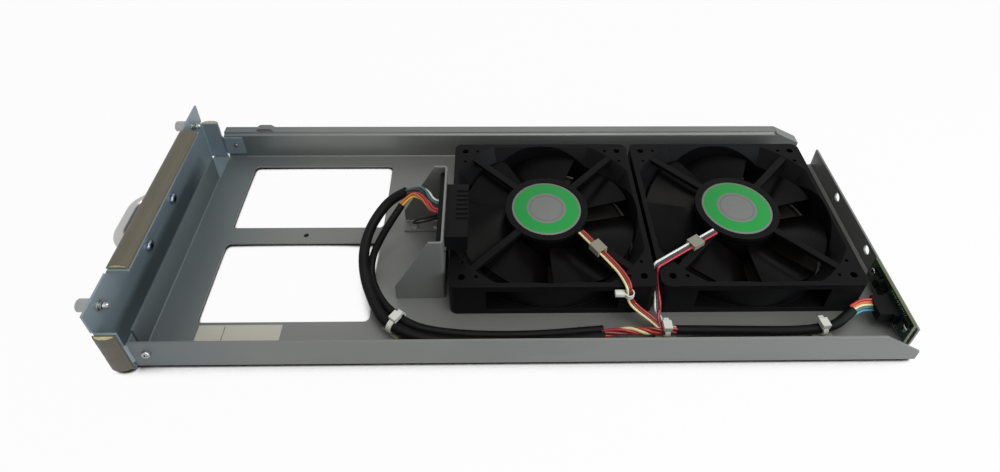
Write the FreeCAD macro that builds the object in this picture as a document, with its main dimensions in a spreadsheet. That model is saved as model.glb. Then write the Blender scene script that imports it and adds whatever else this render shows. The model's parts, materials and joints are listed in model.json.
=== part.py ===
import FreeCAD, Part
import math
import os
from types import SimpleNamespace

import Sketcher
from FreeCAD import Placement, Rotation, Vector

# Slide-in cooling tray: a folded sheet-metal pan with a shielded front panel, two axial fans on its floor,
# a blind-mate connector on a bracket, a small speed-control board at the rear and the harness between them.
# X runs from the front panel to the rear, Y across the tray, Z up. Lengths are millimetres.
# The origin is the middle of the underside of the whole tray.

SIZES = {
    # Folded pan
    "sheet": 1.2,
    "bend_radius": 0.8,
    "bend_relief": 2.1,
    "bottom_lap": 9.0,
    "tray_length": 431.0,
    "tray_width": 167.0,
    "wall_height": 22.9,
    "near_tail_height": 8.8,
    "near_tail_length": 22.4,
    "far_tail_height": 13.3,
    "far_tail_length": 18.2,
    "far_tail_setback": 10.2,
    "lip_width": 6.5,
    "lip_split": 0.7,
    "bump_start": 24.4,
    "bump_length": 13.0,
    "bump_rise": 2.0,
    "bump_ramp": 2.5,
    "front_lip_height": 21.0,
    "front_lip_near": 9.0,
    "front_lip_far": 23.5,
    "rear_flange_height": 15.9,
    "rear_flange_near": 9.0,
    "rear_flange_far": 11.4,
    "rear_hole_radius": 3.0,
    "rear_hole_spacing": 45.0,
    "rear_hole_rise": 10.0,
    "rear_hole_shift": 8.2,
    "opening_start": 24.0,
    "opening_rear": 46.4,
    "opening_width": 57.8,
    "opening_bar": 12.7,
    "opening_corner": 3.0,
    "bar_hole_radius": 1.6,
    "floor_stud_start": 77.0,
    "floor_stud_line": 9.0,
    "floor_stud_radius": 1.8,
    "floor_stud_height": 0.8,
    # Front panel
    "panel_width": 168.0,
    "panel_height": 49.0,
    "flange_depth": 12.4,
    "side_flange_height": 33.2,
    "top_flange_length": 112.0,
    "relief_slot": 1.5,
    "tab_length": 15.0,
    "tab_low": 5.0,
    "tab_high": 20.0,
    "panel_screw_setback": 9.5,
    "panel_screw_rise": 13.0,
    "panel_screw_radius": 1.5,
    "panel_screw_head_radius": 2.5,
    "panel_screw_head_height": 1.6,
    "screw_clearance": 0.2,
    # Shielding gaskets
    "gasket_width": 12.2,
    "gasket_height": 3.2,
    "gasket_fabric": 0.35,
    "gasket_end": 1.5,
    "foam_clearance": 0.08,
    # Bow handle
    "handle_reach": 23.0,
    "handle_spacing": 38.0,
    "handle_radius": 4.0,
    "handle_bend": 11.0,
    "handle_rise": 24.5,
    "handle_screw_radius": 1.9,
    "handle_screw_depth": 8.0,
    "handle_screw_head_radius": 3.6,
    "handle_screw_head_height": 2.2,
    # Captive thumbscrews
    "thumb_spacing": 143.0,
    "thumb_rise": 40.8,
    "thumb_head_radius": 3.5,
    "thumb_head_length": 6.6,
    "thumb_shank_radius": 2.0,
    "thumb_thread_radius": 1.75,
    "thumb_thread_length": 3.0,
    "thumb_standoff": 2.4,
    "thumb_groove_radius": 1.4,
    "thumb_chamfer": 0.5,
    "bush_radius": 2.9,
    "bush_flange_radius": 3.6,
    "bush_flange": 0.8,
    "bush_tail": 0.5,
    "ring_radius": 2.8,
    "ring_thickness": 0.6,
    "ring_setback": 1.1,
    "running_clearance": 0.05,
    # Axial fans
    "rear_space": 21.2,
    "fan_line": 7.05,
    "fan_depth": 25.4,
    "fan_gap": 2.4,
    "fan_corner": 4.5,
    "fan_flange": 4.2,
    "fan_rim": 0.4,
    "fan_barrel_wall": 1.8,
    "fan_tip_gap": 1.5,
    "fan_block": 21.0,
    "flare_reach": 8.2,
    "flare_lap": 0.6,
    "flare_depth": 12.0,
    "fan_hole_inset": 7.1,
    "fan_hole_radius": 2.15,
    "fan_dimple_radius": 1.2,
    "fan_dimple_depth": 1.6,
    "fan_dimple_along": 8.4,
    "fan_dimple_across": 10.0,
    "aperture_lap": 1.3,
    "fan_screw_radius": 2.05,
    "fan_screw_length": 9.0,
    "fan_screw_head_radius": 3.3,
    "motor_base_radius": 26.0,
    "motor_base_depth": 3.2,
    "label_recess_radius": 22.4,
    "label_recess": 0.4,
    "strut_width": 4.2,
    "strut_depth": 2.8,
    "strut_drop": 0.4,
    "tube_radius": 5.0,
    "tube_length": 15.2,
    "bearing_radius": 4.0,
    "bearing_bore": 1.55,
    "bearing_width": 4.0,
    "bearing_spread": 9.0,
    "bearing_inset": 0.3,
    "bearing_seat_clearance": 0.04,
    "shaft_radius": 1.5,
    "shaft_top": 21.6,
    "clip_radius": 2.8,
    "clip_thickness": 0.6,
    "clip_gap": 0.2,
    "hub_radius": 25.0,
    "hub_wall": 1.9,
    "hub_lift": 1.8,
    "hub_height": 17.4,
    "hub_round": 2.0,
    "boss_radius": 3.6,
    "boss_height": 2.6,
    "blade_tip_radius": 55.8,
    "blade_root_span": 22.6,
    "blade_tip_span": 51.0,
    "blade_low": 3.6,
    "blade_high": 18.2,
    "blade_thickness": 1.5,
    "blade_camber": 72.0,
    "magnet_thickness": 3.2,
    "magnet_height": 12.0,
    "magnet_lift": 4.6,
    "air_gap": 0.6,
    "stack_height": 8.0,
    "stack_lift": 8.6,
    "stack_yoke": 8.6,
    "pole_width": 6.0,
    "slot_mouth": 2.6,
    "pole_shoe": 2.8,
    "shoe_taper": 0.84,
    "coil_start": 9.4,
    "coil_length": 3.4,
    "coil_build": 1.9,
    "board_radius": 19.0,
    "board_thickness": 1.2,
    # Connector bracket
    "bracket_gap": 2.6,
    "bracket_shift": -11.0,
    "bracket_width": 61.2,
    "bracket_height": 50.4,
    "gusset_top": 8.0,
    "gusset_length": 29.5,
    "gusset_toe": 11.0,
    "bracket_foot": 10.0,
    "bracket_rivet_radius": 1.6,
    "rivet_inset": 6.2,
    "rivet_toe": 6.5,
    "rivet_heel": 5.5,
    "rivet_head_radius": 2.8,
    "rivet_head_height": 1.0,
    "cutout_length": 42.0,
    "cutout_height": 12.6,
    "connector_rise": 38.0,
    "connector_flange_length": 56.0,
    "connector_flange_height": 17.0,
    "connector_flange": 3.0,
    "connector_body_length": 41.4,
    "connector_body_height": 12.0,
    "connector_reach": 13.3,
    "connector_shell": 1.6,
    "connector_cavity": 9.0,
    "rib_pitch": 3.6,
    "rib_width": 1.3,
    "rib_depth": 0.8,
    "rib_length": 7.0,
    "rib_shift": 4.6,
    "contact_radius": 0.8,
    "contact_pitch": 6.0,
    "contact_length": 5.5,
    "connector_screw_spacing": 49.0,
    "connector_screw_radius": 1.4,
    # Rear control board
    "pcb_length": 46.5,
    "pcb_height": 16.5,
    "pcb_thickness": 1.6,
    "pcb_near": 8.5,
    "pcb_rise": 2.6,
    "standoff_length": 2.6,
    "standoff_radius": 2.2,
    "pcb_hole_radius": 1.3,
    "pcb_hole_inset": 4.0,
    "pcb_screw_head_radius": 2.3,
    "pcb_screw_head_height": 1.4,
    "header_length": 15.0,
    "header_height": 8.0,
    "header_depth": 4.2,
    "header_start": 9.5,
    "header_rise": 4.0,
    "plug_reach": 8.0,
    "plug_margin": 1.2,
    # Harness
    "outer_cable_radius": 3.2,
    "inner_cable_radius": 2.3,
    "bare_bundle_radius": 2.5,
    "rear_cable_radius": 2.7,
    "plug_bundle_radius": 2.3,
    "outer_tail_radius": 2.6,
    "inner_tail_radius": 1.9,
    "front_lead_radius": 1.5,
    "rear_lead_radius": 0.9,
    "tie_width": 3.0,
    "tie_band": 1.0,
    "tie_clearance": 0.15,
    "tie_base": 12.0,
    "tie_head_length": 4.8,
    "tie_head_width": 5.4,
    "tie_head_height": 3.2,
    "tie_stub": 2.2,
    "clip_length": 8.0,
    "clip_width": 7.0,
    "clip_wall": 0.8,
    "front_clip_reach": 43.7,
    "front_clip_aside": -3.9,
    "rear_clip_reach": 44.9,
    "rear_clip_aside": 3.3,
}

doc = FreeCAD.newDocument("fan_tray")
sheet = doc.addObject("Spreadsheet::Sheet", "Sizes")
for row, (alias, length) in enumerate(SIZES.items(), start=1):
    sheet.set(f"A{row}", alias)
    sheet.set(f"B{row}", str(length))
    sheet.setAlias(f"B{row}", alias)
doc.recompute()


class Size:
    """A number of the sheet, or a sum or product of such numbers, together with its expression."""

    def __init__(self, number, text):
        self.number = number
        self.text = text

    def __neg__(self):
        return Size(-self.number, f"(-{self.text})")

    def __add__(self, other):
        return Size(self.number + number(other), f"({self.text} + {text(other)})")

    def __sub__(self, other):
        return Size(self.number - number(other), f"({self.text} - {text(other)})")

    def __mul__(self, other):
        return Size(self.number * number(other), f"({self.text} * {text(other)})")

    __rmul__ = __mul__

    def __truediv__(self, other):
        return Size(self.number / number(other), f"({self.text} / {text(other)})")

    def root(self):
        return Size(math.sqrt(self.number), f"sqrt({self.text})")


def number(size):
    return size.number if isinstance(size, Size) else float(size)


def text(size):
    return size.text if isinstance(size, Size) else repr(float(size))


S = SimpleNamespace(**{alias: Size(length, f"Sizes.{alias}") for alias, length in SIZES.items()})
BLADE_COUNT = 7
STRUT_COUNT = 4
POLE_COUNT = 4
PIECES = []


def bind(item, prop, size):
    """Sets a length property and ties it to the sheet."""
    setattr(item, prop, number(size))
    if isinstance(size, Size):
        item.setExpression(prop, size.text)


def place(item, at, turn=None):
    """Puts an object at a point whose coordinates follow the sheet."""
    item.Placement = Placement(Vector(*(number(c) for c in at)), turn or Rotation())
    for axis, size in zip("xyz", at):
        if isinstance(size, Size):
            item.setExpression(f"Placement.Base.{axis}", size.text)


class Outline:
    """A sketch whose points and radii follow the sheet."""

    def __init__(self, sketch, plane):
        self.sketch = sketch
        self.plane = plane

    def _constrain(self, constraint, size):
        index = self.sketch.addConstraint(constraint)
        if isinstance(size, Size):
            self.sketch.setExpression(f"Constraints[{index}]", size.text)

    def fix(self, geometry, point, u, v):
        """Holds one point of the sketch at u, v from the sketch's own origin."""
        for kind, size in (("DistanceX", u), ("DistanceY", v)):
            self._constrain(Sketcher.Constraint(kind, -1, 1, geometry, point, number(size)), size)

    def loop(self, points, arcs=None):
        """A closed outline. arcs gives a radius and a side, 1 for left or -1 for right, to edges that bow."""
        bowed = arcs or {}
        count = len(points)
        corners = [Vector(number(u), number(v), 0) for u, v in points]
        ends = []
        for k in range(count):
            start, end = corners[k], corners[(k + 1) % count]
            if k not in bowed:
                ends.append((self.sketch.addGeometry(Part.LineSegment(start, end), False), 1, 2))
                continue
            radius, side = bowed[k]
            half = (end - start).Length / 2
            rise = number(radius) - math.sqrt(max(number(radius) ** 2 - half * half, 0.0))
            bow = Vector(0, 0, 1).cross(end - start).normalize() * (side * rise)
            index = self.sketch.addGeometry(Part.Arc(start, (start + end) * 0.5 + bow, end), False)
            self._constrain(Sketcher.Constraint("Radius", index, number(radius)), radius)
            # A sketched arc is kept anticlockwise, so its first point may be the edge's end
            kept = (self.sketch.getPoint(index, 1) - start).Length < 1e-6
            ends.append((index, 1, 2) if kept else (index, 2, 1))
        for k in range(count):
            edge, after = ends[k], ends[(k + 1) % count]
            self.sketch.addConstraint(Sketcher.Constraint("Coincident", edge[0], edge[2], after[0], after[1]))
        for (geometry, start, _), (u, v) in zip(ends, points):
            self.fix(geometry, start, u, v)
        return self

    def rectangle(self, u_low, u_high, v_low, v_high):
        return self.loop([(u_low, v_low), (u_high, v_low), (u_high, v_high), (u_low, v_high)])

    def circle(self, u, v, radius):
        circle = Part.Circle(Vector(number(u), number(v), 0), Vector(0, 0, 1), number(radius))
        index = self.sketch.addGeometry(circle, False)
        self.fix(index, 3, u, v)
        self._constrain(Sketcher.Constraint("Radius", index, number(radius)), radius)
        return self

    def flared(self, half, radius):
        """A square with its corners bowed out to one circle."""
        rest = (radius * radius - half * half).root()
        return self.loop([
            (half, -rest), (half, rest), (rest, half), (-rest, half),
            (-half, rest), (-half, -rest), (-rest, -half), (rest, -half),
        ], {k: (radius, -1) for k in (1, 3, 5, 7)})

    def dome(self, width, height):
        """A flat-bottomed bow profile, as a foam gasket has, standing on v = 0."""
        radius = (width * width / 4 + height * height) / (2 * height)
        return self.loop([(-width / 2, 0), (width / 2, 0)], {1: (radius, -1)})

    def blade(self, span, low, high, thickness, radius):
        """A cambered blade section: two like arcs joined by short edges."""
        return self.loop([
            (-span / 2, low), (span / 2, high), (span / 2, high + thickness), (-span / 2, low + thickness),
        ], {0: (radius, 1), 2: (radius, -1)})


class Piece:
    """One sub-part: a body with sketches and features of its own."""

    def __init__(self, label, at=(0, 0, 0), turn=None, whole=True):
        self.body = doc.addObject("PartDesign::Body", label)
        self.body.Label = label
        place(self.body, at, turn)
        if whole:
            PIECES.append(self.body)

    def sketch(self, plane, level=0.0):
        """A sketch parallel to one of the body's own planes, level away from it along the body's axis."""
        sketch = self.body.newObject("Sketcher::SketchObject", f"{self.body.Name}_sketch")
        for feature in self.body.Origin.OriginFeatures:
            if feature.Role == f"{plane}_Plane":
                sketch.AttachmentSupport = [(feature, "")]
        sketch.MapMode = "FlatFace"
        offset = -level if plane == "XZ" else level
        sketch.AttachmentOffset = Placement(Vector(0, 0, number(offset)), Rotation())
        if isinstance(offset, Size):
            sketch.setExpression("AttachmentOffset.Base.z", offset.text)
        return Outline(sketch, plane)

    def _feature(self, kind, outline):
        feature = self.body.newObject(f"PartDesign::{kind}", f"{self.body.Name}_{kind}")
        feature.Profile = outline.sketch
        return feature

    def pad(self, outline, depth, grow=1):
        """Adds material from the sketch towards the positive axis, or the negative one where grow is -1."""
        feature = self._feature("Pad", outline)
        bind(feature, "Length", depth)
        feature.Reversed = (grow > 0) == (outline.plane == "XZ")
        return feature

    def pocket(self, outline, depth, grow=-1):
        """Cuts from the sketch towards the negative axis, or the positive one where grow is 1."""
        doc.recompute()
        before = self.body.Shape.Volume
        feature = self._feature("Pocket", outline)
        bind(feature, "Length", depth)
        feature.Reversed = (grow > 0) != (outline.plane == "XZ")
        doc.recompute()
        if self.body.Shape.Volume > before - 1e-6:
            raise RuntimeError(f"{feature.Name} cuts nothing")
        return feature

    def taper(self, feature, run, depth):
        """Narrows a pad or pocket by run over its depth."""
        feature.setExpression("TaperAngle", f"-atan({(run / depth).text})")
        doc.recompute()

    def revolve(self, outline):
        """Turns the sketch once round its own vertical axis."""
        feature = self._feature("Revolution", outline)
        feature.ReferenceAxis = (outline.sketch, ["V_Axis"])
        feature.Angle = 360
        return feature

    def polar(self, feature, count):
        """Repeats a feature evenly round the body's vertical axis."""
        pattern = self.body.newObject("PartDesign::PolarPattern", f"{self.body.Name}_PolarPattern")
        pattern.Originals = [feature]
        for axis in self.body.Origin.OriginFeatures:
            if axis.Role == "Z_Axis":
                pattern.Axis = (axis, [""])
        pattern.Angle = 360
        pattern.Occurrences = count
        self.body.Tip = pattern
        return pattern

    def round(self, radius, points):
        """Fillets the edges that pass through the points."""
        doc.recompute()
        base = self.body.Tip
        names = []
        for point in points:
            spot = Part.Vertex(Vector(*(number(c) for c in point)))
            gaps = [edge.distToShape(spot)[0] for edge in base.Shape.Edges]
            nearest = gaps.index(min(gaps))
            if gaps[nearest] > 0.01:
                raise RuntimeError(f"{self.body.Label}: no edge at {spot.Point}")
            names.append(f"Edge{nearest + 1}")
        feature = self.body.newObject("PartDesign::Fillet", f"{self.body.Name}_Fillet")
        feature.Base = (base, names)
        bind(feature, "Radius", radius)
        doc.recompute()
        return feature


ALONG = {
    "X": Rotation(Vector(0, 1, 0), 90),
    "Y": Rotation(Vector(1, 0, 0), -90),
    "Z": Rotation(),
}


def cylinder(radius, height, at, along="Z"):
    item = doc.addObject("Part::Cylinder", "cylinder")
    bind(item, "Radius", radius)
    bind(item, "Height", height)
    place(item, at, ALONG[along])
    return item


def cone(low_radius, high_radius, height, at, along="Z"):
    item = doc.addObject("Part::Cone", "cone")
    bind(item, "Radius1", low_radius)
    bind(item, "Radius2", high_radius)
    bind(item, "Height", height)
    place(item, at, ALONG[along])
    return item


def elbow(bend, radius, at, start):
    """A quarter turn of rod in the level plane, from the start angle on."""
    item = doc.addObject("Part::Torus", "elbow")
    bind(item, "Radius1", bend)
    bind(item, "Radius2", radius)
    item.Angle3 = 90
    place(item, at, Rotation(Vector(0, 0, 1), start))
    return item


def box(length, width, height, at, turn=None):
    item = doc.addObject("Part::Box", "box")
    bind(item, "Length", length)
    bind(item, "Width", width)
    bind(item, "Height", height)
    place(item, at, turn)
    return item


def cut(base, tool):
    item = doc.addObject("Part::Cut", "cut")
    item.Base = base
    item.Tool = tool
    return item


def fuse(*parts):
    item = doc.addObject("Part::MultiFuse", "fuse")
    item.Shapes = list(parts)
    return item


def gather(*parts):
    item = doc.addObject("Part::Compound", "gather")
    item.Links = list(parts)
    return item


def piece(label, item):
    """Names an object as a sub-part."""
    item.Label = label
    PIECES.append(item)
    return item


# Datums
overall_length = S.handle_reach + S.flange_depth + S.tray_length
x_panel = S.handle_reach - overall_length / 2
x_front = x_panel + S.flange_depth
x_rear = x_front + S.tray_length
y_mid = (S.panel_width / 2 + S.gasket_height - S.tray_width / 2 - S.lip_width) / 2
y_near = y_mid - S.tray_width / 2
y_far = y_mid + S.tray_width / 2
z_under = S.sheet
z_floor = z_under + S.sheet
z_wall = z_under + S.wall_height
x_wall = x_front + S.bend_relief
bend_outside = S.bend_radius + S.sheet
fan_bore = S.blade_tip_radius + S.fan_tip_gap
fan_barrel = fan_bore + S.fan_barrel_wall
fan_half = fan_barrel + S.fan_rim
fan_pitch = 2 * fan_half + S.fan_gap
x_fan = x_rear - S.rear_space - fan_pitch - 2 * fan_half
y_fan = y_mid + S.fan_line
fan_centres = [x_fan + fan_half, x_fan + fan_half + fan_pitch]
fan_hole_half = fan_half - S.fan_hole_inset
fan_hole_spots = [(i * fan_hole_half, j * fan_hole_half) for i in (-1, 1) for j in (-1, 1)]
y_lip_near = y_near + S.front_lip_near
y_lip_far = y_far - S.front_lip_far
y_tail_near = y_near + S.rear_flange_near
y_tail_far = y_far - S.rear_flange_far
x_panel_screw = x_front + S.panel_screw_setback
z_panel_screw = z_under + S.panel_screw_rise
panel_screw_hole = S.panel_screw_radius + S.screw_clearance
y_rear_holes = y_mid + S.rear_hole_shift

# Pan: floor with corner reliefs, side walls, front lip and rear flange
pan = Piece("tray_pan_sheet", whole=False)
x_floor_front = x_front + S.bend_relief
x_floor_rear = x_rear - S.bend_relief
x_far_end = x_rear - S.far_tail_setback
pan.pad(pan.sketch("XY", z_under).loop([
    (x_front, y_lip_near), (x_floor_front, y_lip_near), (x_floor_front, y_near), (x_floor_rear, y_near),
    (x_floor_rear, y_tail_near), (x_rear, y_tail_near), (x_rear, y_tail_far), (x_far_end, y_tail_far),
    (x_far_end, y_far), (x_floor_front, y_far), (x_floor_front, y_lip_far), (x_front, y_lip_far),
]), S.sheet)
z_near_end, z_far_end = z_under + S.near_tail_height, z_under + S.far_tail_height
z_bend_low = z_wall - 2 * bend_outside
pan.pad(pan.sketch("XZ", y_near + S.sheet).loop([
    (x_wall, z_under), (x_floor_rear, z_under), (x_floor_rear, z_near_end),
    (x_floor_rear - S.near_tail_length, z_wall), (x_wall, z_wall),
]), S.sheet, grow=-1)
x_tail = x_far_end - S.far_tail_length
pan.pad(pan.sketch("XZ", y_far).loop([
    (x_wall, z_under), (x_far_end, z_under), (x_far_end, z_far_end), (x_tail, z_wall),
    (x_tail, z_bend_low), (x_wall, z_bend_low),
]), S.sheet, grow=-1)
pan.pad(pan.sketch("YZ", x_front).rectangle(
    y_lip_near, y_lip_far, z_under, z_under + S.front_lip_height), S.sheet)
pan.pad(pan.sketch("YZ", x_rear).rectangle(
    y_tail_near, y_tail_far, z_under, z_under + S.rear_flange_height), S.sheet, grow=-1)
# The far wall's top turns outwards into a lip, which is split where the wall slopes down to the rear
y_wall_in = y_far - S.sheet
pan.pad(pan.sketch("YZ", x_wall).loop([
    (y_wall_in, z_bend_low), (y_far, z_bend_low), (y_far, z_wall - bend_outside),
    (y_far + S.bend_radius, z_wall - S.sheet), (y_far + S.lip_width, z_wall - S.sheet),
    (y_far + S.lip_width, z_wall), (y_far + S.bend_radius, z_wall), (y_wall_in, z_wall - bend_outside),
], {2: (S.bend_radius, -1), 6: (bend_outside, 1)}), x_tail - x_wall)
slope_drop = S.wall_height - S.far_tail_height
slope = (S.far_tail_length * S.far_tail_length + slope_drop * slope_drop).root()
slope_x, slope_z = S.far_tail_length / slope, slope_drop / slope
slope_start = (x_tail + slope_x * S.lip_split, z_wall - slope_z * S.lip_split)
pan.pad(pan.sketch("XZ", y_far + S.lip_width).loop([
    slope_start, (x_far_end, z_far_end),
    (x_far_end - slope_z * S.sheet, z_far_end - slope_x * S.sheet),
    (slope_start[0] - slope_z * S.sheet, slope_start[1] - slope_x * S.sheet),
]), S.lip_width, grow=-1)
pan.round(S.bend_radius, [
    (0, y_near + S.sheet, z_floor), (0, y_far - S.sheet, z_floor),
    (x_front + S.sheet, y_mid, z_floor), (x_rear - S.sheet, y_mid, z_floor),
])
pan.round(bend_outside, [
    (0, y_near, z_under), (0, y_far, z_under),
    (x_front, y_mid, z_under), (x_rear, y_mid, z_under),
])
# A short joggle stands up from the lip near the front
bump_low, bump_high = x_front + S.bump_start, x_front + S.bump_start + S.bump_length
pan.pad(pan.sketch("XZ", y_far + S.lip_width).loop([
    (bump_low, z_wall), (bump_high, z_wall),
    (bump_high - S.bump_ramp, z_wall + S.bump_rise), (bump_low + S.bump_ramp, z_wall + S.bump_rise),
]), S.lip_width - bend_outside, grow=-1)
# Two rounded windows with a bar between them, in line with the fans
x_window = x_front + S.opening_start
x_window_end = x_fan - S.opening_rear
y_bar_low, y_bar_high = y_fan - S.opening_bar / 2, y_fan + S.opening_bar / 2
windows = [(y_bar_low - S.opening_width, y_bar_low), (y_bar_high, y_bar_high + S.opening_width)]
for y_low, y_high in windows:
    pan.pocket(pan.sketch("XY", z_floor).rectangle(x_window, x_window_end, y_low, y_high), S.sheet)
pan.round(S.opening_corner, [
    (x, y, z_under + S.sheet / 2) for x in (x_window, x_window_end) for span in windows for y in span
])
floor_holes = pan.sketch("XY", z_floor)
floor_holes.circle((x_window + x_window_end) / 2, y_fan, S.bar_hole_radius)
for x in fan_centres:
    floor_holes.circle(x, y_fan, fan_bore - S.aperture_lap)
pan.pocket(floor_holes, S.sheet)
# A clinched stud stands beside the front fan
y_stud = y_fan - fan_half - S.floor_stud_line
pan.pad(pan.sketch("XY", z_floor).circle(x_fan + S.floor_stud_start, y_stud, S.floor_stud_radius),
        S.floor_stud_height)
rear_holes = pan.sketch("YZ", x_rear)
for side in (-1, 1):
    y_hole = y_rear_holes + side * S.rear_hole_spacing / 2
    rear_holes.circle(y_hole, z_under + S.rear_hole_rise, S.rear_hole_radius)
pan.pocket(rear_holes, S.sheet)
for y_inner in (y_near + S.sheet, y_far):
    pan.pocket(pan.sketch("XZ", y_inner).circle(x_panel_screw, z_panel_screw, panel_screw_hole), S.sheet)
# The fans' screws are sunk flush with the underside
screw_spots = [(x + dx, y_fan + dy) for x in fan_centres for dx, dy in fan_hole_spots]
sinks = [cone(S.fan_screw_head_radius + S.screw_clearance, S.fan_screw_radius + S.screw_clearance, S.sheet,
              (x, y, z_under)) for x, y in screw_spots]
piece("tray_pan", cut(pan.body, gather(*sinks)))
fan_screws = [fuse(cone(S.fan_screw_head_radius, S.fan_screw_radius, S.sheet, (x, y, z_under)),
                   cylinder(S.fan_screw_radius, S.fan_screw_length, (x, y, z_under))) for x, y in screw_spots]
piece("fan_screws", gather(*fan_screws))

# Front panel: a plate with flanges bent back on all four sides
panel = Piece("front_panel")
p_near, p_far = y_mid - S.panel_width / 2, y_mid + S.panel_width / 2
top_half = S.top_flange_length / 2
t_near, t_far = y_mid - top_half, y_mid + top_half
z_top, z_side = S.panel_height, S.side_flange_height
slot = S.bend_relief
z_ear = z_top - slot
panel.pad(panel.sketch("YZ", x_panel).loop([
    (p_near + slot, 0), (p_far - slot, 0), (p_far - slot, slot), (p_far, slot),
    (p_far, z_side), (p_far - slot, z_side),
    (p_far - slot, z_side + S.relief_slot), (p_far, z_side + S.relief_slot),
    (p_far, z_top), (t_far + S.relief_slot, z_top), (t_far + S.relief_slot, z_ear), (t_far, z_ear),
    (t_far, z_top), (t_near, z_top),
    (t_near, z_ear), (t_near - S.relief_slot, z_ear), (t_near - S.relief_slot, z_top), (p_near, z_top),
    (p_near, z_side + S.relief_slot), (p_near + slot, z_side + S.relief_slot), (p_near + slot, z_side),
    (p_near, z_side), (p_near, slot), (p_near + slot, slot),
]), S.sheet)
x_flange = x_panel + S.flange_depth
panel.pad(panel.sketch("XY", z_top).rectangle(x_panel, x_flange, t_near, t_far), S.sheet, grow=-1)
# The lower flange is full width past the bends, and narrower again where it laps the pan
x_bend, x_lap = x_panel + slot, x_front + S.bottom_lap
panel.pad(panel.sketch("XY", 0).loop([
    (x_panel, p_near + slot), (x_bend, p_near + slot), (x_bend, p_near), (x_flange, p_near),
    (x_flange, p_near + slot), (x_lap, p_near + slot), (x_lap, p_far - slot), (x_flange, p_far - slot),
    (x_flange, p_far), (x_bend, p_far), (x_bend, p_far - slot), (x_panel, p_far - slot),
]), S.sheet)
side_outline = [(x_panel, slot), (x_flange, slot), (x_flange, z_side), (x_panel, z_side)]
for y_inner in (p_near + S.sheet, p_far):
    panel.pad(panel.sketch("XZ", y_inner).loop(side_outline), S.sheet, grow=-1)
# A joggled tab carries each side flange inside the pan's wall
for side, flange_out, wall_in in ((1, p_near, y_near + S.sheet), (-1, p_far, y_far - S.sheet)):
    step = side * S.sheet
    panel.pad(panel.sketch("XY", z_under + S.tab_low).loop([
        (x_flange, flange_out), (x_wall, wall_in), (x_front + S.tab_length, wall_in),
        (x_front + S.tab_length, wall_in + step), (x_wall, wall_in + step), (x_flange, flange_out + step),
    ]), S.tab_high - S.tab_low)
z_side_mid = z_side / 2
panel.round(S.bend_radius, [
    (x_panel + S.sheet, y_mid, z_top - S.sheet), (x_panel + S.sheet, y_mid, S.sheet),
    (x_panel + S.sheet, p_near + S.sheet, z_side_mid), (x_panel + S.sheet, p_far - S.sheet, z_side_mid),
])
panel.round(bend_outside, [
    (x_panel, y_mid, z_top), (x_panel, y_mid, 0), (x_panel, p_near, z_side_mid), (x_panel, p_far, z_side_mid),
])
thumb_spots = [(y_mid - S.thumb_spacing / 2, S.thumb_rise), (y_mid + S.thumb_spacing / 2, S.thumb_rise)]
handle_spots = [(y_mid - S.handle_spacing / 2, S.handle_rise), (y_mid + S.handle_spacing / 2, S.handle_rise)]
panel_holes = panel.sketch("YZ", x_panel + S.sheet)
for y, z in thumb_spots:
    panel_holes.circle(y, z, S.bush_radius + S.running_clearance)
for y, z in handle_spots:
    panel_holes.circle(y, z, S.handle_screw_radius + S.screw_clearance)
panel.pocket(panel_holes, S.sheet)
for level in (y_near + 2 * S.sheet, y_far - S.sheet):
    panel.pocket(panel.sketch("XZ", level).circle(x_panel_screw, z_panel_screw, panel_screw_hole), S.sheet)

# Screws that hold the pan's walls to the panel's tabs, heads outside
panel_screws = []
shank_length = 2 * S.sheet + S.panel_screw_head_height
for y, inward in ((y_near, 1), (y_far, -1)):
    head_low = y - S.panel_screw_head_height if inward > 0 else y
    shank_low = y if inward > 0 else y - shank_length
    panel_screws.append(fuse(
        cylinder(S.panel_screw_head_radius, S.panel_screw_head_height,
                 (x_panel_screw, head_low, z_panel_screw), "Y"),
        cylinder(S.panel_screw_radius, shank_length, (x_panel_screw, shank_low, z_panel_screw), "Y")))
piece("panel_screws", gather(*panel_screws))

# Shielding gaskets: a conductive fabric sleeve over a foam core, stuck to the flanges
x_gasket = x_panel + S.flange_depth / 2
z_side_gasket = (z_side + slot) / 2
side_gasket_length = z_side - slot - S.gasket_end
gaskets = [
    ("top", (x_gasket, y_mid, z_top), Rotation(), S.top_flange_length - 2 * S.gasket_end),
    ("near", (x_gasket, p_near, z_side_gasket), Rotation(Vector(1, 0, 0), 90), side_gasket_length),
    ("far", (x_gasket, p_far, z_side_gasket), Rotation(Vector(1, 0, 0), -90), side_gasket_length),
]
core_inset = S.gasket_fabric + S.foam_clearance
for name, at, turn, length in gaskets:
    fabric = Piece(f"{name}_gasket_fabric", at, turn)
    fabric.pad(fabric.sketch("XZ", -length / 2).dome(S.gasket_width, S.gasket_height), length)
    inner = fabric.sketch("XZ", -length / 2)
    inner.dome(S.gasket_width - 3 * S.gasket_fabric, S.gasket_height - S.gasket_fabric)
    fabric.pocket(inner, length, grow=1)
    foam = Piece(f"{name}_gasket_foam", at, turn)
    foam.pad(foam.sketch("XZ", -length / 2).dome(
        S.gasket_width - 3 * core_inset, S.gasket_height - core_inset), length)

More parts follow.
